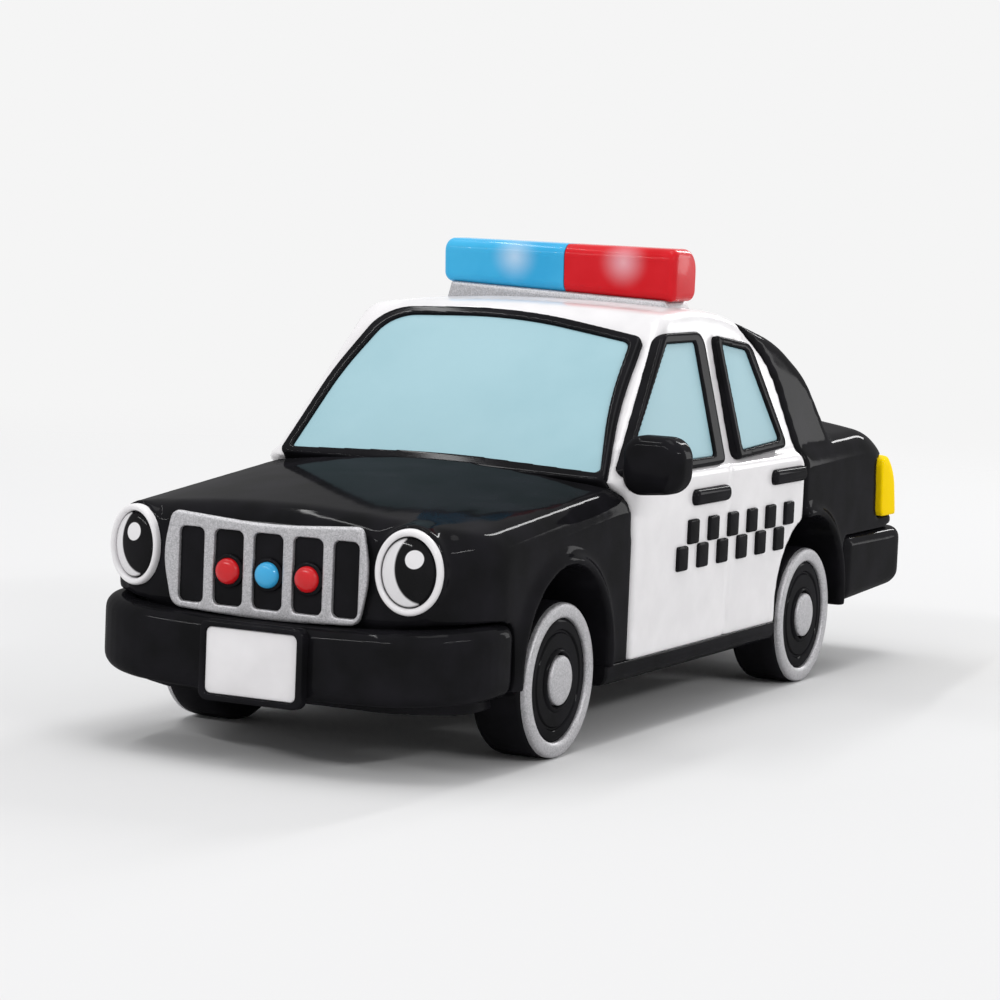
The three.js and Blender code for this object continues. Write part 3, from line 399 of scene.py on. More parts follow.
blueLamp = plainPaint("blueLamp", ((0.04, 0.38, 0.7), (0.05, 0.42, 0.75)),
                      roughness=(0.14, 0.2), bump=0.05, scale=300, Specular_IOR_Level=0.2, Coat_Weight=0.4)
silver = silverPaint("silverPaint")
steelWire = plainPaint("steelWire", ((0.5, 0.5, 0.52), (0.62, 0.62, 0.64)),
                       roughness=(0.22, 0.34), bump=0.1, scale=900, Metallic=1.0)
boardGreen = plainPaint("boardGreen", ((0.01, 0.11, 0.04), (0.02, 0.16, 0.06)),
                        roughness=(0.4, 0.55), bump=0.1, scale=700)
mirrorGlass = plainPaint("mirrorGlass", ((0.7, 0.72, 0.74), (0.78, 0.8, 0.82)),
                         roughness=(0.05, 0.09), bump=0.0, scale=300, Metallic=1.0)
print("paints mixed")


# lower body and cabin forms, corners are (y, z, fillet radius) seen from the side

bodyForm = {
    "nose": -56.4, "bottom": 3.5, "corner": 3, "bonnetFront": 24.5, "scuttle": (-24, 27.2, 40),
    "bootLid": (49.8, 29.5, 14), "bootEdge": (57.4, 25.3, 5), "tail": (58.8, 16.5, 14),
    "lidGrow": 0.6, "edgeGrow": 0.5,
    "halfWidth": 20.8, "edge": 2.4, "segments": 8, "slices": range(-18, 19, 2), "crown": 1.9, "waist": 12.25,
    "flat": 9, "noseSweep": 6, "nosePower": 3.6, "tailSweep": 2, "tailPower": 2,
    "sweepStart": 26.4, "sweepEnd": 56.4,
}


def endSweep(x, y):  # nose and tail curve back towards the sides
    s = bodyForm
    out = max(0, abs(x) - s["flat"]) / (s["halfWidth"] - s["flat"])
    if y < 0:
        return s["noseSweep"] * out ** s["nosePower"]
    return -s["tailSweep"] * out ** s["tailPower"]


def makeBody(name, grow=0.0):
    s = bodyForm
    scuttle, lid, edge, tail = s["scuttle"], s["bootLid"], s["bootEdge"], s["tail"]
    nose, low, corner = s["nose"] - grow, s["bottom"] - grow, s["corner"] + grow
    corners = [
        (nose, low, corner), (nose, s["bonnetFront"] + grow, corner),
        (scuttle[0], scuttle[1] + grow, scuttle[2]), (lid[0] + s["lidGrow"] * grow, lid[1] + grow, lid[2]),
        (edge[0] + grow, edge[1] + s["edgeGrow"] * grow, edge[2] + grow),
        (tail[0] + grow, tail[1], tail[2]), (tail[0] + grow, low, corner),
    ]
    half = s["halfWidth"] + grow
    piece = slab(name, outline(corners, steps=10), sideView, -half, half, s["edge"] + grow, s["segments"])
    slicePiece(piece, (1, 0, 0), s["slices"])

    def crownAndSweep(x, y, z):
        across = abs(x) / s["halfWidth"]
        high = smoothStep(z, s["waist"], s["bonnetFront"])
        atEnds = smoothStep(abs(y), s["sweepStart"], s["sweepEnd"])
        return x, y + endSweep(x, y) * atEnds, z - s["crown"] * across ** 2 * high

    reshape(piece, crownAndSweep)
    return piece


cabinForm = {
    "foot": 20.5, "footBack": 42, "screenTop": (42.8, 4.4), "baseY": -23.28, "rake": 1.128,
    "rearFoot": 37.5, "rearSlope": (-6.3, 8.4),
    "roofLine": [(8, 43.3, 45), (24.3, 39, 22), (31.2, 34.9, 10)],
    "halfWidth": 20.2, "edge": 1.0, "segments": 8,
    "slices": range(-16, 17, 2), "seamSlices": range(-22, 1, 2),
    "belt": 26.5, "leanLeft": 0.239, "leanRight": 0.05, "leanBelow": 2.1,
    "crownLeft": 0.5, "fallRight": 1.2, "shoulder": 36.5, "roof": 43.2,
}


def windscreenY(z):
    return cabinForm["baseY"] + cabinForm["rake"] * (z - cabinForm["belt"])


def roofDrop(x, z, fall):
    s = cabinForm
    return fall * (x / s["halfWidth"]) ** 2 * smoothStep(z, s["shoulder"], s["roof"])


def makeCabin(name):
    s = cabinForm
    top, topRadius = s["screenTop"]
    corners = [(windscreenY(s["foot"]), s["foot"], 0), (windscreenY(top), top, topRadius), *s["roofLine"],
               (s["footBack"], s["foot"], 0)]
    half = s["halfWidth"]
    piece = slab(name, outline(corners, steps=10), sideView, -half, half, s["edge"], s["segments"])
    slicePiece(piece, (1, 0, 0), s["slices"])

    def leanIn(x, y, z):
        lean, fall = (s["leanLeft"], s["crownLeft"]) if x > 0 else (s["leanRight"], s["fallRight"])
        width = half - lean * max(z - s["belt"], -s["leanBelow"])
        return x * width / half, y, z - roofDrop(x, z, fall)

    reshape(piece, leanIn)
    return piece


screenGap = 1.3  # from the front shell to the windscreen
doorLines = {
    "white": [  # the white part of the side, round from the foot of the rear door
        (26.4, 25.5, 0), (25.4, 27.5, 2), (21.05, 36.5, 16), (14.5, 40.6, 1), (14.5, 52, 0),
        (windscreenY(52), 52, 0), (windscreenY(26.1), 26.1, 0.3), (-20.6, 24.9, 4), (-20, 19, 0),
        (-20, -5, 0), (26.4, -5, 0),
    ],
    "ahead": [  # all that the front shell leaves free
        (80, -10, 0), (80, 60, 0), (windscreenY(60) - screenGap, 60, 0),
        (windscreenY(26.2) - screenGap, 26.2, 0.4), (-20.9, 24.9, 4), (-20.3, 19, 0), (-20.3, -10, 0),
    ],
    "behind": [  # all that the rear shell leaves free
        (-80, -10, 0), (26.7, -10, 0), (26.7, 25.6, 0), (25.7, 27.6, 2), (21.35, 36.7, 16), (14.8, 40.9, 1),
        (14.8, 60, 0), (-80, 60, 0),
    ],
    "doors": [(-20, 7, 0), (26.4, 7, 0), (26.4, 26.5, 2), (-24, 26.5, 1), (-20.8, 24.1, 3), (-20, 20.5, 3)],
    "doorHalf": 20.8, "doorEdge": 0.5,
}


def doorRegion(which, half=40):
    return slab(which, outline(doorLines[which]), sideView, -half, half)


def fallAway(region):  # the seam drops with the roof's right side
    s = cabinForm
    slicePiece(region, (1, 0, 0), s["seamSlices"])
    reshape(region, lambda x, y, z: (x, y, z - roofDrop(min(x, 0), z, s["fallRight"])))
    return region


wheelArch = {
    "frontY": -35.3, "rearY": 28.6, "centreZ": 9.3, "radius": 9.7, "foot": -10, "steps": 40,
    "wellX": (13.6, 40), "lip": 1.0, "lipX": (18, 21.5), "lipEdge": 0.4,
    "slotX": (-30, 30), "slotHalf": 1.6, "slotZ": (-5, 9.2),
    "liner": (1.1, 12.5, 18.9), "linerRoom": (1.4, 12, 19.2),  # wall, inner x, outer x
}


def archBlock(name, axleY, radius, x0, x1, edge=0):
    s = wheelArch
    turns = [math.pi * k / s["steps"] for k in range(s["steps"] + 1)]
    points = [(axleY + radius, s["foot"])]
    points += [(axleY + radius * math.cos(turn), s["centreZ"] + radius * math.sin(turn)) for turn in turns]
    points += [(axleY - radius, s["foot"])]
    return slab(name, points, sideView, x0, x1, edge, segments=4)


def linerBlock(which):
    wall, x0, x1 = wheelArch[which]
    return archBlock(which, wheelArch["rearY"], wheelArch["radius"] + wall, x0, x1)


def flipSide(piece):
    piece.data.transform(mirrorX)
    piece.data.flip_normals()
    return piece


def onBothSides(make):
    left = make()
    right = copyPiece(left, left.name + "Right", mirrorX)
    return left, right


def cutArches(piece, axleY):
    s = wheelArch
    for well in onBothSides(lambda: archBlock("well", axleY, s["radius"], *s["wellX"])):
        cut(piece, well)
    cut(piece, block("axleSlot", s["slotX"], (axleY - s["slotHalf"], axleY + s["slotHalf"]), s["slotZ"]))


def addLips(piece, axleY):
    s = wheelArch
    for lip in onBothSides(lambda: archBlock("lip", axleY, s["radius"] + s["lip"], *s["lipX"], s["lipEdge"])):
        join(piece, lip)


bumpers = {
    "front": {"y": -58.8, "end": -46.2, "corner": 10, "bottom": 6.6, "height": 7.2, "sign": 1, "flush": 0.35,
              "lift": 0},
    "rear": {"y": 60.0, "end": 39.6, "corner": 4.5, "bottom": 7.25, "height": 7.8, "sign": -1, "flush": 0.25,
             "lift": 1.3},
}
bumperForm = {
    "half": 21.4, "wall": 2.9, "room": 0.25, "endRadius": 1.6, "edge": 1.5, "segments": 7,
    "slices": range(-18, 19, 3), "pastEnds": 8, "pastTop": 4, "smile": 0.8, "smileHalf": 20.8, "flushRun": 3,
    "liftRun": (50, 60), "liftTall": 5, "voxel": 0.22, "passes": 8,
}


def bumperBlock(name, which, grow=0.0, inset=0.0):
    s, f = bumpers[which], bumperForm
    inside = inset > 0  # the hollow runs out past the ends, top and bottom
    half = f["half"] + grow - inset
    y = s["y"] - s["sign"] * (grow - inset)
    end = s["end"] + s["sign"] * (grow + f["pastEnds"] * inside)
    low = s["bottom"] - grow - f["pastTop"] * inside
    high = s["bottom"] + s["height"] + grow + f["pastTop"] * inside
    corner = s["corner"] + grow - inset
    tip = f["endRadius"]
    corners = [(-half, end, tip), (-half, y, corner), (half, y, corner), (half, end, tip)]
    edge = 0 if inside else f["edge"] + grow
    piece = slab(name, outline(corners, steps=12, share=0.85), planView, low, high, edge, f["segments"])
    slicePiece(piece, (1, 0, 0), f["slices"])

    def smile(x, y, z):
        run = smoothStep(abs(y), abs(s["y"]) - f["flushRun"], abs(s["end"]))
        under = 1 - smoothStep(z, s["bottom"], s["bottom"] + f["liftTall"])
        lift = s["lift"] * smoothStep(abs(y), *f["liftRun"]) * under
        return x * (1 - s["flush"] / f["half"] * run), y, z + f["smile"] * (x / f["smileHalf"]) ** 2 + lift

    reshape(piece, smile)
    return piece


def makeBumper(name, which, grow=0.0):  # a bar that wraps the corners, open behind
    piece = bumperBlock(name, which, grow)
    cut(piece, bumperBlock("inside", which, inset=bumperForm["wall"] + grow))
    return piece


shellSettings = {"voxel": 0.33, "passes": 15}
acrossAll = (-40, 40)
innerX = (-12.3, 12.3)
shellRooms = {  # x, y and z of what is cut out of the shells
    "below": (acrossAll, (-90, 90), (-30, 7.7)),
    "underBelt": (acrossAll, (-60, 60), (-10, 24.4)),
    "engineRoom": (innerX, (-54, 0), (-20, 22.5)),
    "cabinRoom": (innerX, (-40, 60), (-20, 38)),
    "shutLine": ((20.35, 30), (4.3, 4.8), (-5, 40)),
    "linerEnd": (acrossAll, (28, 60), (-20, 60)),
    "boot": (innerX, (-10, 54), (9.9, 24.5)),
    "underBumper": (acrossAll, (39.3, 80), (-20, 9.2)),
    "bootFront": (innerX, (-10, 41.3), (-20, 24.5)),
    "rearSeat": (innerX, (-10, 30), (-20, 32)),
}


def room(name):
    return block(name, *shellRooms[name])


def castShell(shell, slotName, paint, node):
    cut(shell, room("below"))
    soften(shell, shellSettings["voxel"], shellSettings["passes"])
    finishPiece(shell, "car", slotName, paint, node)


headlight = {  # 1 is the left one, -1 the right one
    "x": {1: 14.5, -1: 15.3}, "z": 19.6, "aspect": {1: 0.81, -1: 0.74}, "tall": {1: 1, -1: 0.97},
    "splay": 9.6, "radius": 4.05, "band": 0.7, "lens": 3.3, "podRadius": 4.4, "podDepth": (-6, 0.1),
}


def headlightPlace(side):
    s = headlight
    turn = Matrix.Rotation(math.radians(s["splay"] * side), 4, "Z")
    x = s["x"][side]
    place = Vector((x * side, bodyForm["nose"] + endSweep(x, -1), s["z"]))
    return Matrix.Translation(place * mm) @ turn @ Matrix.Diagonal((s["aspect"][side], 1, s["tall"][side], 1))


def makeFrontShell():
    shell = makeBody("frontShell")
    addLips(shell, wheelArch["frontY"])
    for side in (1, -1):
        pod = turned("pod", drum(headlight["podRadius"], *headlight["podDepth"]), (0, 0, 0), forward)
        pod.data.transform(headlightPlace(side))
        join(shell, pod)
    cut(shell, doorRegion("ahead"))
    cutArches(shell, wheelArch["frontY"])
    cut(shell, makeBumper("bumperRoom", "front", bumperForm["room"]))
    cut(shell, room("engineRoom"))
    castShell(shell, "gloss_black", glossBlack, "front_shell")


makeFrontShell()
print("front shell cast")

# window planes and outlines, corners are (across, up, fillet radius) from the belt line

windscreenPlane = planeView((0, cabinForm["baseY"], cabinForm["belt"]), (1, 0, 0), (0, cabinForm["rake"], 1))
rearPlane = planeView((0, cabinForm["rearFoot"], cabinForm["belt"]), (-1, 0, 0),
                      (0, *cabinForm["rearSlope"]))


def sidePlane(lean):  # the right side is drawn on the left, then mirrored
    return planeView((cabinForm["halfWidth"], 0, cabinForm["belt"]), (0, 1, 0), (-lean, 0, 1))


leftPlane = sidePlane(cabinForm["leanLeft"])
rightPlane = sidePlane(cabinForm["leanRight"])


def frontSide(plane, back):
    return {
        "plane": plane,
        "frame": [(back - 23.1, -0.2, 0.8), (3.2, 0, 0.8), (2.9, 14.3, 1.8), (back - 7.2, 14.3, 3)],
        "glass": [(back - 21.8, 0.9, 0.5), (0.6, 0.9, 0.5), (0.4, 13.2, 0.5), (back - 7, 13.2, 1.5)],
    }


def rearSide(plane):
    return {
        "plane": plane,
        "frame": [(7, 0.2, 0.6), (21.1, 0.7, 0.8), (15.5, 12.6, 2.4), (6.1, 13.8, 0.8)],
        "glass": [(8.2, 1.1, 0.4), (19.1, 1.6, 0.4), (14, 11.9, 0.8), (7.4, 12.8, 0.4)],
    }


windows = {
    "windscreen": {
        "plane": windscreenPlane,
        "frame": [(0, -0.5, 90), (19.2, -0.9, 0.8), (16.5, 10, 60), (15.5, 20, 1), (0, 23.3, 60),
                  (-15.8, 22.2, 4.5), (-17.9, 12, 40), (-18.7, -0.5, 0.8)],
        "glass": [(0, 1.3, 90), (18.2, 0.2, 0.5), (15.4, 10, 60), (14.4, 19.1, 1.2), (0, 22, 50),
                  (-14.5, 21.1, 4), (-16.7, 12, 40), (-17.5, 0.3, 0.5)],
    },
    "frontSideLeft": frontSide(leftPlane, 0),
    "frontSideRight": frontSide(rightPlane, 2.3),
    "rearSideLeft": rearSide(leftPlane),
    "rearSideRight": rearSide(rightPlane),
    "rear": {
        "plane": rearPlane,
        "frame": mirrored([(16.6, 3.6, 1), (14.2, 10.6, 1.6)]),
        "glass": mirrored([(15, 4.7, 0.6), (13, 9.5, 1)]),
    },
}
frameSettings = {
    "proud": 0.6, "proudRight": 0.12, "depth": 2.0, "edge": 0.3, "voxel": 0.12, "passes": 10, "overlap": 0.5,
    "openingReach": 3.6, "holeReach": 5,
    "paneFace": 0.3, "paneFaceRight": 0.0, "paneThick": 1.4, "paneEdge": 0.15,
}


def windowOpening(which):
    s, f = windows[which], frameSettings
    points = shrink(outline(s["frame"]), f["overlap"])
    return slab("opening", points, s["plane"], -f["openingReach"], f["openingReach"])


def makeWindow(which):
    s, f = windows[which], frameSettings
    right = which.endswith("Right")
    proud, face = (f["proudRight"], f["paneFaceRight"]) if right else (f["proud"], f["paneFace"])
    plane, band, glass = s["plane"], outline(s["frame"]), outline(s["glass"])
    bead = slab(which + "Frame", band, plane, proud - f["depth"], proud, f["edge"], segments=4)
    cut(bead, slab("hole", glass, plane, -f["holeReach"], f["holeReach"]))
    soften(bead, f["voxel"], f["passes"])
    pane = slab(which + "Pane", glass, plane, face - f["paneThick"], face, f["paneEdge"], segments=4)
    smoothByAngle(pane)
    return bead, pane


def makeCabinShell():
    shell = makeCabin("cabinShell")
    cut(shell, fallAway(doorRegion("white", half=30)), "INTERSECT")
    cut(shell, room("underBelt"))
    half, edge = doorLines["doorHalf"], doorLines["doorEdge"]
    join(shell, slab("doors", outline(doorLines["doors"]), sideView, -half, half, edge, segments=4))
    cut(shell, windowOpening("windscreen"))
    for which in ("frontSide", "rearSide"):
        cut(shell, windowOpening(which + "Left"))
        cut(shell, flipSide(windowOpening(which + "Right")))
    cutArches(shell, wheelArch["rearY"])
    for liner in onBothSides(lambda: linerBlock("linerRoom")):
        cut(shell, liner)
    cut(shell, room("cabinRoom"))
    for line in onBothSides(lambda: room("shutLine")):
        cut(shell, line)
    castShell(shell, "gloss_white", glossWhite, "cabin_shell")


makeCabinShell()
print("cabin shell cast")

tailLamp = {
    "front": 50.0, "back": 56.2, "slant": 0.6, "bottom": 17.4, "height": 6.9, "radius": 1, "topRadius": 1.2,
    "inner": 18.4, "outer": 40, "proud": 0.6, "sunk": -0.7, "room": 0.15, "voxel": 0.15, "passes": 8,
}


def makeTailLamps(name, grow=0.0):
    s = tailLamp
    low, high = s["bottom"] - grow, s["bottom"] + s["height"] + grow
    corners = [(s["front"] - grow, low, s["radius"]), (s["back"] + grow, low, s["radius"]),
               (s["back"] + grow, high, s["radius"]), (s["front"] - s["slant"] - grow, high, s["topRadius"])]
    lamp = slab(name, outline(corners), sideView, s["inner"] - grow, s["outer"])
    cut(lamp, makeBody("lampSkin", s["proud"] + grow), "INTERSECT")
    cut(lamp, makeBody("lampBack", s["sunk"] - grow))
    return lamp


def makeRearShell():
    shell = makeBody("rearShell")
    cabin = makeCabin("rearCabin")
    cut(cabin, room("underBelt"))
    join(shell, cabin)
    addLips(shell, wheelArch["rearY"])
    cut(shell, fallAway(doorRegion("behind")))
    liner = linerBlock("liner")
    cut(liner, room("linerEnd"))
    join(shell, copyPiece(liner, "linerRight", mirrorX))
    join(shell, liner)
    cutArches(shell, wheelArch["rearY"])
    cut(shell, makeBumper("bumperRoom", "rear", bumperForm["room"]))
    cut(shell, windowOpening("rear"))
    for lamp in onBothSides(lambda: makeTailLamps("lampRoom", tailLamp["room"])):
        cut(shell, lamp)
    for name in ("boot", "underBumper", "bootFront", "rearSeat"):
        cut(shell, room(name))
    castShell(shell, "gloss_black", glossBlack, "rear_shell")


makeRearShell()
print("rear shell cast")

# windows with their beads

def setWindow(which, beadNode, paneNode):
    bead, pane = makeWindow(which)
    if which.endswith("Right"):
        flipSide(bead)
        flipSide(pane)
    finishPiece(bead, "car", "gloss_black", glossBlack, beadNode)
    finishPiece(pane, "car", "sky_pane", skyPane, paneNode)


setWindow("windscreen", "windscreen_frame", "windscreen")
setWindow("rear", "rear_window_frame", "rear_window")
for which, node in (("frontSide", "front_window"), ("rearSide", "rear_side_window")):
    for word in ("left", "right"):
        setWindow(which + word.title(), f"{node}_frame_{word}", f"{node}_{word}")
print("windows set")

# bumpers, plate and grille

for which in ("front", "rear"):
    bar = makeBumper(which + "Bumper", which)
    soften(bar, bumperForm["voxel"], bumperForm["passes"])
    finishPiece(bar, "car", "gloss_black", glossBlack, which + "_bumper")

plate = {
    "half": 5.6, "bottom": 6.1, "height": 7.7, "band": 0.65, "radius": 0.9, "faceRadius": 0.6, "fit": 0.02,
    "back": 59.1, "rim": (-0.6, 0.9), "room": (0.35, 3), "face": (0.3, 0.62),  # depths from the back
    "voxel": 0.12, "passes": 8,
}


def plateLayer(name, layer, inset, radius, edge=0, segments=4):
    s = plate
    side, low, top = s["half"] - inset, s["bottom"] + inset, s["bottom"] + s["height"] - inset
    points = outline(mirrored([(side, low, radius), (side, top, radius)]), steps=6)
    back, front = s[layer]
    return slab(name, points, frontView, s["back"] + back, s["back"] + front, edge, segments)


def makePlate():
    s = plate
    rim = plateLayer("plateFrame", "rim", 0, s["radius"], edge=0.25)
    cut(rim, plateLayer("plateRoom", "room", s["band"], s["faceRadius"]))
    soften(rim, s["voxel"], s["passes"])
    face = plateLayer("numberPlate", "face", s["band"] + s["fit"], s["faceRadius"], edge=0.12, segments=3)
    smoothByAngle(face)
    finishPiece(rim, "car", "gloss_black", glossBlack, "number_plate_frame")
    finishPiece(face, "car", "gloss_white", glossWhite, "number_plate")


makePlate()

grille = {
    "half": 10.9, "bottom": 13.9, "height": 9.6, "waist": 0.55, "right": 0.75, "sag": 0.2, "back": 56.6,
    "front": 57.3, "edge": 0.25, "slots": 5, "pitch": 4.3, "bar": 1.1, "band": 1.15, "bandLow": 0.8,
    "bandTop": 1.3, "slotRadius": 0.6, "through": 2, "voxel": 0.12, "passes": 7,
    "padInset": 0.4, "padBack": 1.2, "padFace": 0.25,
}


def grilleOutline():
    s = grille
    half, low, top = s["half"], s["bottom"], s["bottom"] + s["height"]
    waist = low + s["waist"] * s["height"]
    return outline([
        (half - 1, low + 0.3, 1.2), (half, waist, 12), (half - 0.9, top, 0.8), (0, top - 0.7, 60),
        (0.2 - half, top, 1), (-half - s["right"], waist, 9), (0.4 - half, low + 0.3, 1.4),
        (0, low - s["sag"], 90),
    ])


def makeGrille():
    s = grille
    bars = slab("grilleFrame", grilleOutline(), frontView, s["back"], s["front"], s["edge"], segments=4)
    limit, reach = s["half"] - s["band"], (s["pitch"] - s["bar"]) / 2
    z = (s["bottom"] + s["bandLow"] * s["band"], s["bottom"] + s["height"] - s["bandTop"] * s["band"])
    for i in range(s["slots"]):
        centre = (i - s["slots"] // 2) * s["pitch"]
        x = (max(-limit, centre - reach), min(limit, centre + reach))
        slot = outline(rectangle(x, z, s["slotRadius"]))
        cut(bars, slab("slot", slot, frontView, s["back"] - s["through"], s["front"] + s["through"]))
    soften(bars, s["voxel"], s["passes"])
    finishPiece(bars, "car", "silver_paint", silver, "grille_frame")
    points = shrink(grilleOutline(), s["padInset"])
    back, face = s["back"] - s["padBack"], s["back"] + s["padFace"]
    pad = slab("grillePad", points, frontView, back, face, edge=0.1, segments=2)
    finishPiece(pad, "car", "gloss_black", glossBlack)


makeGrille()

grilleLamp = {"radius": 1.25, "z": 18.1, "back": -56.7, "boss": 1.6, "fit": 1.02, "steps": 48}


def makeGrilleLamp(x, word, slotName, material):
    s = grilleLamp
    r, hole, boss = s["radius"], s["fit"] * s["radius"], s["boss"]
    name, centre = "grilleLamp" + word.title(), (x, s["back"], s["z"])
    dome = [(0, 0), (r, 0), (r, 0.6), (0.94 * r, 0.84), (0.78 * r, 1.02), (0.5 * r, 1.14), (0, 1.2)]
    lamp = turned(name, dome, centre, forward, s["steps"])
    finishPiece(lamp, "car", slotName, material, "grille_lamp_" + word)
    rim = [(hole, 0), (boss, 0), (boss, 0.42), (boss - 0.12, 0.52), (hole, 0.52)]
    finishPiece(turned(name + "Boss", rim, centre, forward, s["steps"]), "car", "gloss_black", glossBlack)


makeGrilleLamp(-grille["pitch"], "right", "lamp_red", redLamp)
makeGrilleLamp(0, "middle", "lamp_blue", blueLamp)
makeGrilleLamp(grille["pitch"], "left", "lamp_red", redLamp)
print("front end fitted")

# headlights: a white ring round a dark eye with painted glints

eyeGlints = {  # a crescent is what an inner oval shows past an outer one
    "tones": ((0.0025, 0.0025, 0.003), (0.006, 0.0055, 0.007)),
    "roughness": (0.14, 0.2), "bump": 0.06, "scale": 300, "faceY": -1,
    "insideX": -0.1, "insideHalf": (3.15, 3.16),
    "outsideX": 1.7, "outsideZ": 0.55, "outsideHalf": (3.2, 3.42),
    "crescent": (0.77, 0.76, 0.77), "dotX": {1: 0.8 * headlight["aspect"][1], -1: 0.3}, "dotZ": 1.3,
    "dotHalf": (1.05, 0.86), "dot": (0.8, 0.79, 0.8),
}


def eyePaint(name, side):
    s = eyeGlints
    paint = newPaint(name, Specular_IOR_Level=0.0, Coat_Weight=0.25, Coat_Roughness=0.07)
    material, nodes, links, shader = paint
    colour = brushedOn(paint, s["tones"], s["roughness"], s["bump"], s["scale"])
    centre = headlightPlace(side) @ Vector((0, s["faceY"] * mm, 0)) / mm
    wide, tall = headlight["aspect"][side], headlight["tall"][side]

    def oval(x, z, half, high):
        return ovalMask(nodes, links, centre + Vector((x, 0, z)), (half[0] * wide, half[1] * high))

    inside = oval(s["insideX"] * wide, 0, s["insideHalf"], tall)
    outside = oval(s["outsideX"] * wide, s["outsideZ"], s["outsideHalf"], tall)
    crescent = nodes.new("ShaderNodeMath")
    crescent.operation = "SUBTRACT"
    crescent.use_clamp = True
    links.new(inside, crescent.inputs[0])
    links.new(outside, crescent.inputs[1])
    dot = oval(s["dotX"][side], s["dotZ"], s["dotHalf"], 1)
    colour = mixColour(nodes, links, crescent.outputs["Value"], colour, s["crescent"])
    colour = mixColour(nodes, links, dot, colour, s["dot"])
    links.new(colour, shader.inputs["Base Color"])
    return material


def makeHeadlights():
    s = headlight
    outer, inner, lens = s["radius"], s["radius"] - s["band"], s["lens"]
    ring = [(inner, -1), (outer, -1), (outer, 0.4), (outer - 0.06, 0.6), (outer - 0.18, 0.74),
            (outer - 0.32, 0.8), (inner + 0.18, 0.76), (inner + 0.05, 0.62), (inner, 0.4)]
    eye = [(0, -1), (lens, -1), (lens, 0.3), (lens - 0.1, 0.42), (0.85 * lens, 0.62), (0.65 * lens, 0.84),
           (0.4 * lens, 1.0), (0.2 * lens, 1.08), (0, 1.1)]
    bezel = turned("headlightBezel", ring, (0, 0, 0), forward)
    ball = turned("headlightLens", eye, (0, 0, 0), forward)
    for side, word in ((1, "left"), (-1, "right")):
        place, title = headlightPlace(side), word.title()
        finishPiece(copyPiece(bezel, "headlightBezel" + title, place), "car", "gloss_white", glossWhite,
                    "headlight_bezel_" + word)
        finishPiece(copyPiece(ball, "headlightLens" + title, place), "car", "gloss_black",
                    eyePaint("eye" + title, side), "headlight_lens_" + word)
    bpy.data.objects.remove(bezel)
    bpy.data.objects.remove(ball)


makeHeadlights()
print("headlights set")

# tail lamps

for side, word in ((1, "left"), (-1, "right")):
    lamp = makeTailLamps("tailLamp" + word.title())
    soften(lamp, tailLamp["voxel"], tailLamp["passes"])
    if side < 0:
        flipSide(lamp)
    finishPiece(lamp, "car", "lamp_amber", amberLens, "tail_lamp_" + word)
print("tail lamps set")

# mirror and handles

mirror = {
    "inner": 20.2, "span": 6.7, "z": 27.9, "tall": 6.2, "y": -21.3, "depth": 4.0, "edge": 1.25, "voxel": 0.14,
    "passes": 7, "radius": 2, "outerRadius": 2.2, "slope": 0.6, "stalkX": 19.9, "stalkIn": 2,
    "stalkY": (-0.6, 0.8), "stalkZ": (0.5, -0.2),
    "band": 0.9, "glassFoot": 1.4, "glassRadius": 1.2, "glassOuter": 1.4, "roomBack": 4,
    "sunk": 0.35, "glass": (0.1, 0.5),
}


def makeMirror():
    s = mirror
    inner, outer = s["inner"], s["inner"] + s["span"]
    low, high = s["z"] - s["tall"] / 2, s["z"] + s["tall"] / 2
    back, front = -s["y"] - s["depth"] / 2, -s["y"] + s["depth"] / 2
    corners = [(inner, low, s["radius"]), (outer, low + s["slope"], s["outerRadius"]),
               (outer, high, s["outerRadius"]), (inner, high, s["radius"])]
    pod = slab("mirrorLeft", outline(corners), frontView, back, front, s["edge"], segments=7)
    stalkY = [s["y"] + reach for reach in s["stalkY"]]
    stalkZ = (low + s["stalkZ"][0], s["z"] + s["stalkZ"][1])
    join(pod, block("stalk", (s["stalkX"], inner + s["stalkIn"]), stalkY, stalkZ, edge=0.3))
    x0, x1, z0, z1 = inner + s["band"], outer - s["band"], low + s["band"], high - s["band"]
    face = outline([(x0, z0, s["glassRadius"]), (x1, low + s["glassFoot"], s["glassOuter"]),
                    (x1, z1, s["glassOuter"]), (x0, z1, s["glassRadius"])])
    cut(pod, slab("glassRoom", face, frontView, -s["y"] - s["roomBack"], back + s["sunk"]))
    soften(pod, s["voxel"], s["passes"])
    sunk, proud = s["glass"]
    glass = slab("mirrorGlassLeft", face, frontView, back + sunk, back + proud, edge=0.1, segments=2)
    finishPiece(pod, "car", "gloss_black", glossBlack, "mirror_left")
    finishPiece(glass, "car", "silver_paint", mirrorGlass)


makeMirror()

handle = {"front": (-1.2, 23.5), "rear": (20.6, 24.2), "length": 9.4, "tall": 1.7, "radius": 0.8,
          "back": 20.3, "face": 21.5, "edge": 0.55}


def makeHandle(end):
    s = handle
    y, z = s[end]
    name, node = end + "Handle", end + "_door_handle"
    half, tall = s["length"] / 2, s["tall"] / 2
    points = outline(rectangle((y - half, y + half), (z - tall, z + tall), s["radius"]))
    grip = slab(name + "Left", points, sideView, s["back"], s["face"], s["edge"])
    smoothByAngle(grip, 50)
    finishPiece(copyPiece(grip, name + "Right", mirrorX), "car", "gloss_black", glossBlack, node + "_right")
    finishPiece(grip, "car", "gloss_black", glossBlack, node + "_left")


makeHandle("front")
makeHandle("rear")

checker = {"y0": -9.4, "z0": 16.0, "size": 2.66, "gap": 0.08, "radius": 0.3, "columns": 12, "rows": 2,
           "back": 20.6, "skin": 20.8, "proud": 0.35, "edge": 0.2}


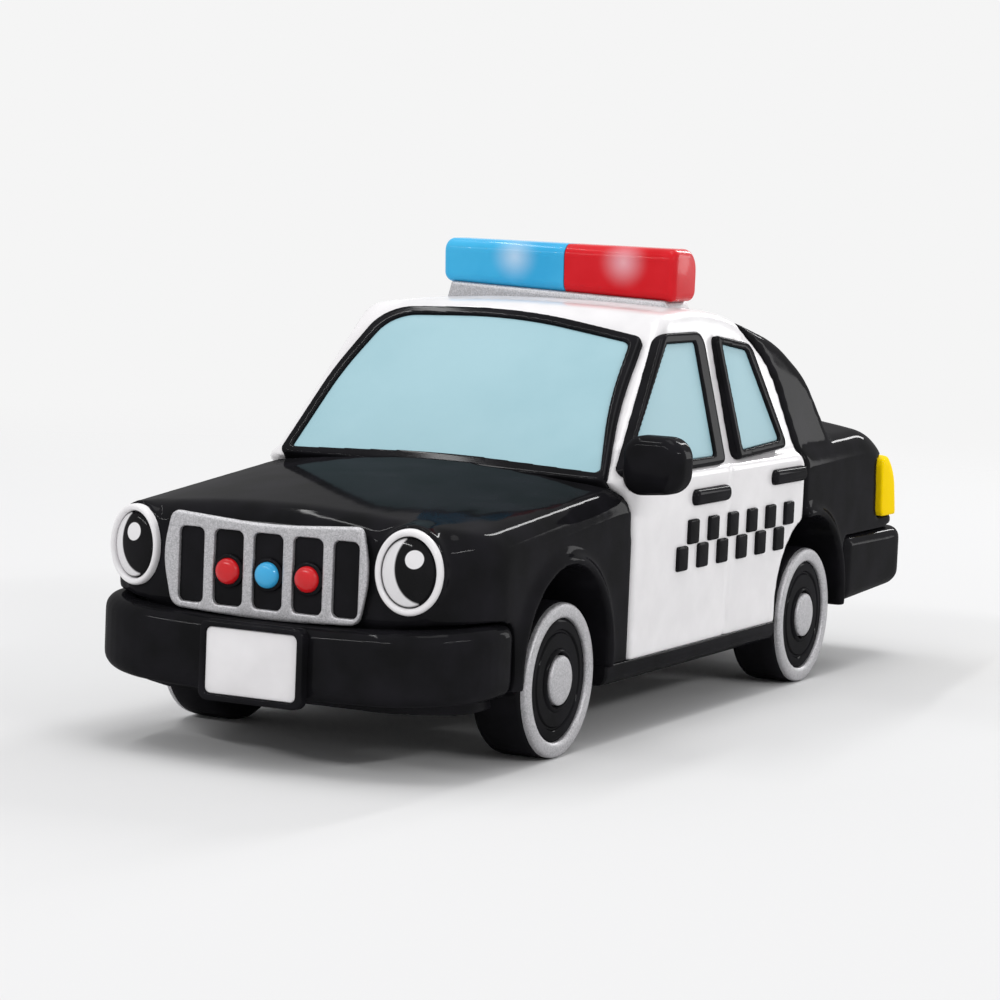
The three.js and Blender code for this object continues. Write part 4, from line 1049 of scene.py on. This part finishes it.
def makeChecker():  # a plain checker band on each side
    s = checker
    e, face = s["size"] - s["gap"], s["skin"] + s["proud"]
    band = None
    for row in range(s["rows"]):
        for column in range(row, s["columns"], 2):
            y, z = s["y0"] + column * s["size"], s["z0"] + row * s["size"]
            square = outline(rectangle((y, y + e), (z, z + e), s["radius"]), steps=4)
            tile = slab("checkerLeft", square, sideView, s["back"], face, s["edge"], segments=4)
            if band is None:
                band = tile
            else:
                pick(band)
                tile.select_set(True)
                bpy.ops.object.join()
    smoothByAngle(band, 50)
    finishPiece(copyPiece(band, "checkerRight", mirrorX), "car", "gloss_black", glossBlack)
    finishPiece(band, "car", "gloss_black", glossBlack)


makeChecker()
print("doors dressed")

# light bar, its lower edge slopes down to the left

lightBar = {
    "front": 2.2, "frontFoot": 2.5, "back": 8.8, "bottom": 43.75, "top": 49.0, "half": 13.95, "split": 0.9,
    "gap": 0.05, "edge": 0.85, "segments": 7, "hang": 0.45, "hangTop": 48.0,
    "base": [(-13.5, 42.2, 0.3), (13.5, 42.2, 0.3), (12.9, 43.85, 0.3), (-12.9, 43.85, 0.3)],
    "baseDepth": (-8.4, -2.6), "baseEdge": 0.3, "baseFoot": 42.5,
    # the glow colours are painted light, mixed into each lens's colour round its spot over the lamp
    "redTones": ((0.6, 0.008, 0.014), (0.68, 0.016, 0.024)), "redPaintedGlow": (0.86, 0.5, 0.55),
    "blueTones": ((0.04, 0.4, 0.72), (0.06, 0.46, 0.78)), "bluePaintedGlow": (0.58, 0.74, 0.9),
    "redSpot": (7.96, 2.2, 47.3), "blueSpot": (-5.1, 2.2, 47.3),
}


def lensHalf(bar, name, side):  # one end of the bar, closed at the split
    s = lightBar
    lens = copyPiece(bar, name, Matrix())
    pick(lens)
    bpy.ops.object.mode_set(mode="EDIT")
    bpy.ops.mesh.select_all(action="SELECT")
    bpy.ops.mesh.bisect(plane_co=((s["split"] + side * s["gap"]) * mm, 0, 0), plane_no=(side, 0, 0),
                        clear_inner=True, use_fill=True)
    bpy.ops.object.mode_set(mode="OBJECT")
    smoothByAngle(lens, 50)
    return lens


def makeLightBar():
    s = lightBar
    corners = [(s["frontFoot"], s["bottom"], 1.2), (s["back"], s["bottom"], 1.2), (s["back"], s["top"], 2.4),
               (s["front"], s["top"], 1.4)]
    bar = slab("lightBar", outline(corners), sideView, -s["half"], s["half"], s["edge"], s["segments"])

    def hangBar(x, y, z):
        return x, y, z - s["hang"] * x / s["half"] * (1 - smoothStep(z, s["bottom"], s["hangTop"]))

    def hangBase(x, y, z):
        return x, y, z - s["hang"] * x / s["half"] * smoothStep(z, s["baseFoot"], s["bottom"])

    reshape(bar, hangBar)
    left, right = lensHalf(bar, "barLensRed", 1), lensHalf(bar, "barLensBlue", -1)
    bpy.data.objects.remove(bar)
    # each lens gets a painted glow round its spot; the lamps under it give no light
    redLens = paintedGlowLens("redLens", s["redTones"], s["redPaintedGlow"], s["redSpot"])
    blueLens = paintedGlowLens("blueLens", s["blueTones"], s["bluePaintedGlow"], s["blueSpot"])
    finishPiece(left, "car", "lamp_red", redLens, "light_bar_lens_red")
    finishPiece(right, "car", "lamp_blue", blueLens, "light_bar_lens_blue")
    base = slab("barBase", outline(s["base"]), frontView, *s["baseDepth"], s["baseEdge"], segments=4)
    reshape(base, hangBase)
    smoothByAngle(base, 50)
    finishPiece(base, "car", "silver_paint", silver, "light_bar_base")


makeLightBar()
print("light bar mounted")

# wheels, rings and axles, sections are (radius, x)

wheel = {"z": 7.7, "radius": 7.7, "ringOuter": 7.6, "ringInner": 6.1, "hub": 2.45, "axleSteps": 64}


def makeWheels():
    s = wheel
    r, out, inn, h = s["radius"], s["ringOuter"], s["ringInner"], s["hub"]
    tyre = [(1.5, 14.3), (r - 1.2, 14.3), (r - 0.45, 14.55), (r - 0.1, 15.0), (r, 15.5), (r, 19.4),
            (r - 0.05, 19.7), (r - 0.15, 19.88), (r - 0.3, 19.95), (6.2, 19.95), (6.05, 20.0), (5.9, 20.15),
            (5.7, 20.2), (5.0, 20.2), (4.92, 20.12), (4.86, 20.02), (4.7, 20.02), (4.64, 20.12), (4.56, 20.2),
            (3.15, 20.2), (3.08, 20.34), (2.95, 20.42), (2.78, 20.42), (2.66, 20.3), (2.6, 20.2), (2.5, 19.9),
            (1.5, 19.9)]
    ring = [(inn, 19.9), (out, 19.9), (out - 0.02, 20.2), (out - 0.08, 20.36), (out - 0.2, 20.47),
            (out - 0.36, 20.52), (inn + 0.34, 20.52), (inn + 0.18, 20.47), (inn + 0.06, 20.36), (inn, 20.2)]
    head = [(1.2, 20.0), (h, 20.0), (h, 20.42), (h - 0.06, 20.55), (h - 0.18, 20.63), (h - 0.36, 20.67),
            (0.5 * h, 20.7), (0, 20.7)]
    rod = [(radius, -along) for radius, along in reversed(head)] + head
    for end in ("front", "rear"):
        body, centre = end + "_axle_set", (0, wheelArch[end + "Y"], s["z"])
        for name, section, slotName, paint, node in (("Wheel", tyre, "gloss_black", glossBlack, "wheel"),
                                                     ("Ring", ring, "silver_paint", silver, "wheel_ring")):
            left = turned(end + name + "Left", section, centre, sideways)
            right = copyPiece(left, end + name + "Right", mirrorX)
            finishPiece(right, body, slotName, paint, f"{end}_{node}_right")
            finishPiece(left, body, slotName, paint, f"{end}_{node}_left")
        axle = turned(end + "Axle", rod, centre, sideways, s["axleSteps"])
        finishPiece(axle, body, "silver_paint", silver, end + "_axle")


makeWheels()
print("wheels on")

# floor pan, battery cap, screws and switch

floor = {
    "half": [(12, -54.6, 6), (18.2, -51, 5), (18.2, -45.1, 0.9), (13.6, -45.1, 0), (13.6, -25.5, 0),
             (20.88, -25.5, 0.3), (20.88, 18.8, 0.3), (13.6, 18.8, 0), (13.6, 38.4, 0), (18.2, 38.4, 0.9),
             (18.2, 41, 0.9)],
    "bottom": 5.9, "top": 8.0, "edge": 0.2, "slices": (6.25, 6.6, 7),
    "sillX": 19, "sillTop": 7, "sillTall": 1.1, "tuck": 0.7,  # the sills tuck in below
    "cellY": -6, "capRadius": 11.2, "capGap": 0.25, "capTop": 7.3,
    "coinX": 4.6, "coinY": 0.85, "coinRadius": 0.8, "coinTop": 6.7,
    "switchY": 10.6, "switchX": 2.5, "switchRoom": 1.3, "through": (0, 20),
    "screwY": {"front": -47.5, "rear": 37.8}, "screwRoom": (2.1, 0, 6.9),
}


def makeFloor():
    s = floor
    points = outline(mirrored(s["half"]))
    pan = slab("floorPan", points, planView, s["bottom"], s["top"], s["edge"], segments=4)
    slicePiece(pan, (0, 0, 1), s["slices"])

    def tuckIn(x, y, z):
        inward = s["tuck"] * (max(0, s["sillTop"] - z) / s["sillTall"]) ** 2 * (abs(x) > s["sillX"])
        return x - math.copysign(inward, x), y, z

    reshape(pan, tuckIn)
    centre, r, y = (0, s["cellY"], 0), s["capRadius"], s["switchY"]
    cut(pan, turned("capRoom", drum(r + s["capGap"], *s["through"]), centre, upright, steps=64))
    slotX, slotY = (-s["switchX"], s["switchX"]), (y - s["switchRoom"], y + s["switchRoom"])
    cut(pan, block("switchRoom", slotX, slotY, s["through"]))
    for screwY in s["screwY"].values():
        cut(pan, turned("screwRoom", drum(*s["screwRoom"]), (0, screwY, 0), upright, steps=32))
    smoothByAngle(pan)
    finishPiece(pan, "car", "gloss_black", glossBlack, "floor_pan")
    low, top = s["bottom"], s["capTop"]
    lid = [(0, low), (r - 0.3, low), (r - 0.08, 6.0), (r, 6.2), (r, top), (0, top)]
    cap = turned("batteryCap", lid, centre, upright)
    coinY = (s["cellY"] - s["coinY"], s["cellY"] + s["coinY"])
    coin = outline(rectangle((-s["coinX"], s["coinX"]), coinY, s["coinRadius"]))
    cut(cap, slab("coinSlot", coin, planView, 0, s["coinTop"]))
    smoothByAngle(cap)
    finishPiece(cap, "battery_door", "gloss_black", glossBlack, "battery_cap")


makeFloor()

screw = {
    "section": [(0, 5.95), (1.5, 5.95), (1.75, 6.1), (1.8, 6.3), (1.8, 6.6), (0.8, 6.6), (0.8, 13.9),
                (0, 14.9)],
    "slotLong": 1.1, "slotWide": 0.22, "slotZ": (5, 6.35), "steps": 48,
}


def makeScrew(end):
    s, y = screw, floor["screwY"][end]
    long, wide = s["slotLong"], s["slotWide"]
    pin = turned(end + "Screw", s["section"], (0, y, 0), upright, s["steps"])
    cut(pin, block("slotA", (-long, long), (y - wide, y + wide), s["slotZ"]))
    cut(pin, block("slotB", (-wide, wide), (y - long, y + long), s["slotZ"]))
    smoothByAngle(pin)
    finishPiece(pin, "car", "steel", steelWire, end + "_screw")


makeScrew("front")
makeScrew("rear")

switch = {"x": (-2.2, -0.2), "half": 1, "z": (5.4, 8.3), "edge": 0.15, "grooves": (-1.7, -1.2, -0.7),
          "grooveHalf": 0.1, "grooveLong": 2, "grooveZ": (5, 5.6)}


def makeSwitch():
    s, y = switch, floor["switchY"]
    nub = block("switchSlider", s["x"], (y - s["half"], y + s["half"]), s["z"], s["edge"], segments=3)
    grooveY = (y - s["grooveLong"], y + s["grooveLong"])
    for x in s["grooves"]:
        cut(nub, block("groove", (x - s["grooveHalf"], x + s["grooveHalf"]), grooveY, s["grooveZ"]))
    finishPiece(nub, "switch", "gloss_white", glossWhite, "switch_slider")


makeSwitch()
print("underside fitted")

# hanger

hanger = {
    "y": 18.2, "roof": 40.609, "pivot": 42.609, "wire": 0.5, "width": 6.4, "length": 8.0, "tilt": 22,
    "foot": [(0, -1.5), (2, -1.5), (2, 0.75), (1.9, 0.92), (1.7, 1.0), (0, 1.0)],
    "lugHalf": 1.4, "lugRadius": 1.3, "lugThick": 0.7, "bore": (0.8, -3, 3),
}


def makeHangerLoop():
    s = hanger
    half, length = s["width"] / 2, s["length"]
    path = [(0, 0), (half - 1, 0), (half, 1.2), (half, length - 2), (half - 1.4, length - 0.3), (0, length),
            (1.4 - half, length - 0.3), (-half, length - 2), (-half, 1.2), (1 - half, 0)]
    clearSelection()
    bpy.ops.curve.primitive_nurbs_circle_add(radius=mm)
    wire = bpy.context.object
    wire.name = "hangerLoop"
    wire.data.splines.clear()
    spline = wire.data.splines.new("BEZIER")
    spline.bezier_points.add(len(path) - 1)
    spline.use_cyclic_u = True
    tilt = Matrix.Rotation(math.radians(-s["tilt"]), 3, "X")
    for point, (x, y) in zip(spline.bezier_points, path):
        point.co = (Vector((0, s["y"], s["pivot"])) + tilt @ Vector((x, y, 0))) * mm
        point.handle_left_type = point.handle_right_type = "AUTO"
    wire.data.dimensions = "3D"
    wire.data.bevel_depth = s["wire"] * mm
    wire.data.bevel_resolution = 5
    wire.data.resolution_u = 8
    bpy.ops.object.convert(target="MESH")
    loop = bpy.context.object
    pick(loop)
    bpy.ops.object.shade_smooth()
    finishPiece(loop, "hanger", "steel", steelWire, "hanger_loop")


def makeHangerEyelet():
    s = hanger
    front, back, top = s["y"] - s["lugHalf"], s["y"] + s["lugHalf"], s["pivot"] + s["lugHalf"]
    lug = outline([(front, s["roof"], 0), (back, s["roof"], 0), (back, top, s["lugRadius"]),
                   (front, top, s["lugRadius"])])
    eyelet = turned("hangerEyelet", s["foot"], (0, s["y"], s["roof"]), upright, steps=64)
    join(eyelet, slab("lug", lug, sideView, -s["lugThick"], s["lugThick"], edge=0.15, segments=3))
    cut(eyelet, turned("bore", drum(*s["bore"]), (0, s["y"], s["pivot"]), sideways, steps=32))
    smoothByAngle(eyelet)
    finishPiece(eyelet, "car", "steel", steelWire, "hanger_eyelet")


makeHangerLoop()
makeHangerEyelet()
print("hanger hung")

# inner pieces keep their solids and get a finish

for node, paint in (("coin_cell", steelWire), ("battery_contact", steelWire), ("circuit_board", boardGreen),
                    ("light_bar_strip", boardGreen), ("lamp_cable", glossBlack)):
    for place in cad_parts[node].material_slots:
        place.material = paint
print("inner pieces painted")

# stage, lights and camera

backdrop = {"white": 0.913, "fill": 0.56, "fillTint": (0.985, 0.985, 1.0), "floor": 0.71, "radius": 0.9,
            "fadeFrom": 0.16, "fadeTo": 0.42}


def makeRoom():  # pale where it is seen or mirrored, a plain fill light elsewhere
    s = backdrop
    world = bpy.data.worlds.new("paleRoom")
    scene.world = world
    world.use_nodes = True
    nodes, links = world.node_tree.nodes, world.node_tree.links
    seen = nodes["Background"]
    seen.inputs["Color"].default_value = (s["white"], s["white"], s["white"], 1)
    light = nodes.new("ShaderNodeBackground")
    light.inputs["Color"].default_value = (*s["fillTint"], 1)
    light.inputs["Strength"].default_value = s["fill"]
    path = nodes.new("ShaderNodeLightPath")
    isSeen = path.outputs["Is Camera Ray"]
    for ray in ("Is Glossy Ray", "Is Transmission Ray"):
        either = nodes.new("ShaderNodeMath")
        either.operation = "MAXIMUM"
        links.new(isSeen, either.inputs[0])
        links.new(path.outputs[ray], either.inputs[1])
        isSeen = either.outputs["Value"]
    mix = nodes.new("ShaderNodeMixShader")
    links.new(isSeen, mix.inputs["Fac"])
    links.new(light.outputs["Background"], mix.inputs[1])
    links.new(seen.outputs["Background"], mix.inputs[2])
    links.new(mix.outputs["Shader"], nodes["World Output"].inputs["Surface"])


def makeTable():  # a pale floor that fades out into the room
    s = backdrop
    clearSelection()
    bpy.ops.mesh.primitive_circle_add(vertices=96, radius=s["radius"], fill_type="NGON")
    table = bpy.context.object
    table.name = "paleFloor"
    material, nodes, links, shader = newPaint("paleFloor", Base_Color=(s["floor"], s["floor"], s["floor"], 1),
                                              Roughness=0.9, Specular_IOR_Level=0.0)
    away = vectorStep(nodes, links, "LENGTH", objectPlace(nodes))["Value"]
    links.new(softEdge(nodes, links, away, s["fadeTo"], s["fadeFrom"]), shader.inputs["Alpha"])
    table.data.materials.append(material)


makeRoom()
makeTable()

softBoxes = {  # place, aim and size in metres, power in watts
    "frontStrip": ((-0.25, -0.62, 0.42), (0, 0, 0.02), (0.5, 0.012), 1.3),
    "sideStrip": ((0.68, -0.2, 0.4), (0, 0, 0.02), (0.5, 0.012), 1.3),
    "overStrip": ((-0.33, -0.06, 0.68), (0, 0, 0.02), (0.6, 0.012), 0.9),
    "backStrip": ((0.06, 0.76, 0.43), (0, 0, 0.02), (0.05, 0.4), 2.6),
    "cornerBox": ((0.38, 0.8, 0.17), (0, 0, 0.03), (0.1, 0.3), 0.45),
    "topLight": ((0.05, 0.05, 0.8), (0, 0, 0.03), (0.5, 0.3), 1.7),
}

for name, (place, aim, size, power) in softBoxes.items():
    lamp = bpy.data.lights.new(name, "AREA")
    lamp.shape = "RECTANGLE"
    lamp.size, lamp.size_y = size
    lamp.energy = power
    holder = bpy.data.objects.new(name, lamp)
    holder.location = place
    holder.rotation_euler = (Vector(aim) - Vector(place)).to_track_quat("-Z", "Y").to_euler()
    scene.collection.objects.link(holder)

photoCamera = {
    "place": (157.62, -330.64, 57.52), "right": (0.8923748, 0.4494, 0.0413148),
    "up": (-0.0812431, 0.0699211, 0.9942387), "forward": (-0.4439221, 0.8905901, -0.0989065), "lens": 122.4,
    "sensor": 36, "clipStart": 0.01,
}


def makeCamera():
    s = photoCamera
    data = bpy.data.cameras.new("photoCamera")
    data.lens = s["lens"]
    data.sensor_width = s["sensor"]
    data.clip_start = s["clipStart"]
    camera = bpy.data.objects.new("photoCamera", data)
    scene.collection.objects.link(camera)
    turn = Matrix((s["right"], s["up"], -Vector(s["forward"]))).transposed().to_4x4()
    camera.matrix_world = Matrix.Translation(Vector(s["place"]) * mm) @ turn
    scene.camera = camera


makeCamera()
print("stage and camera ready")
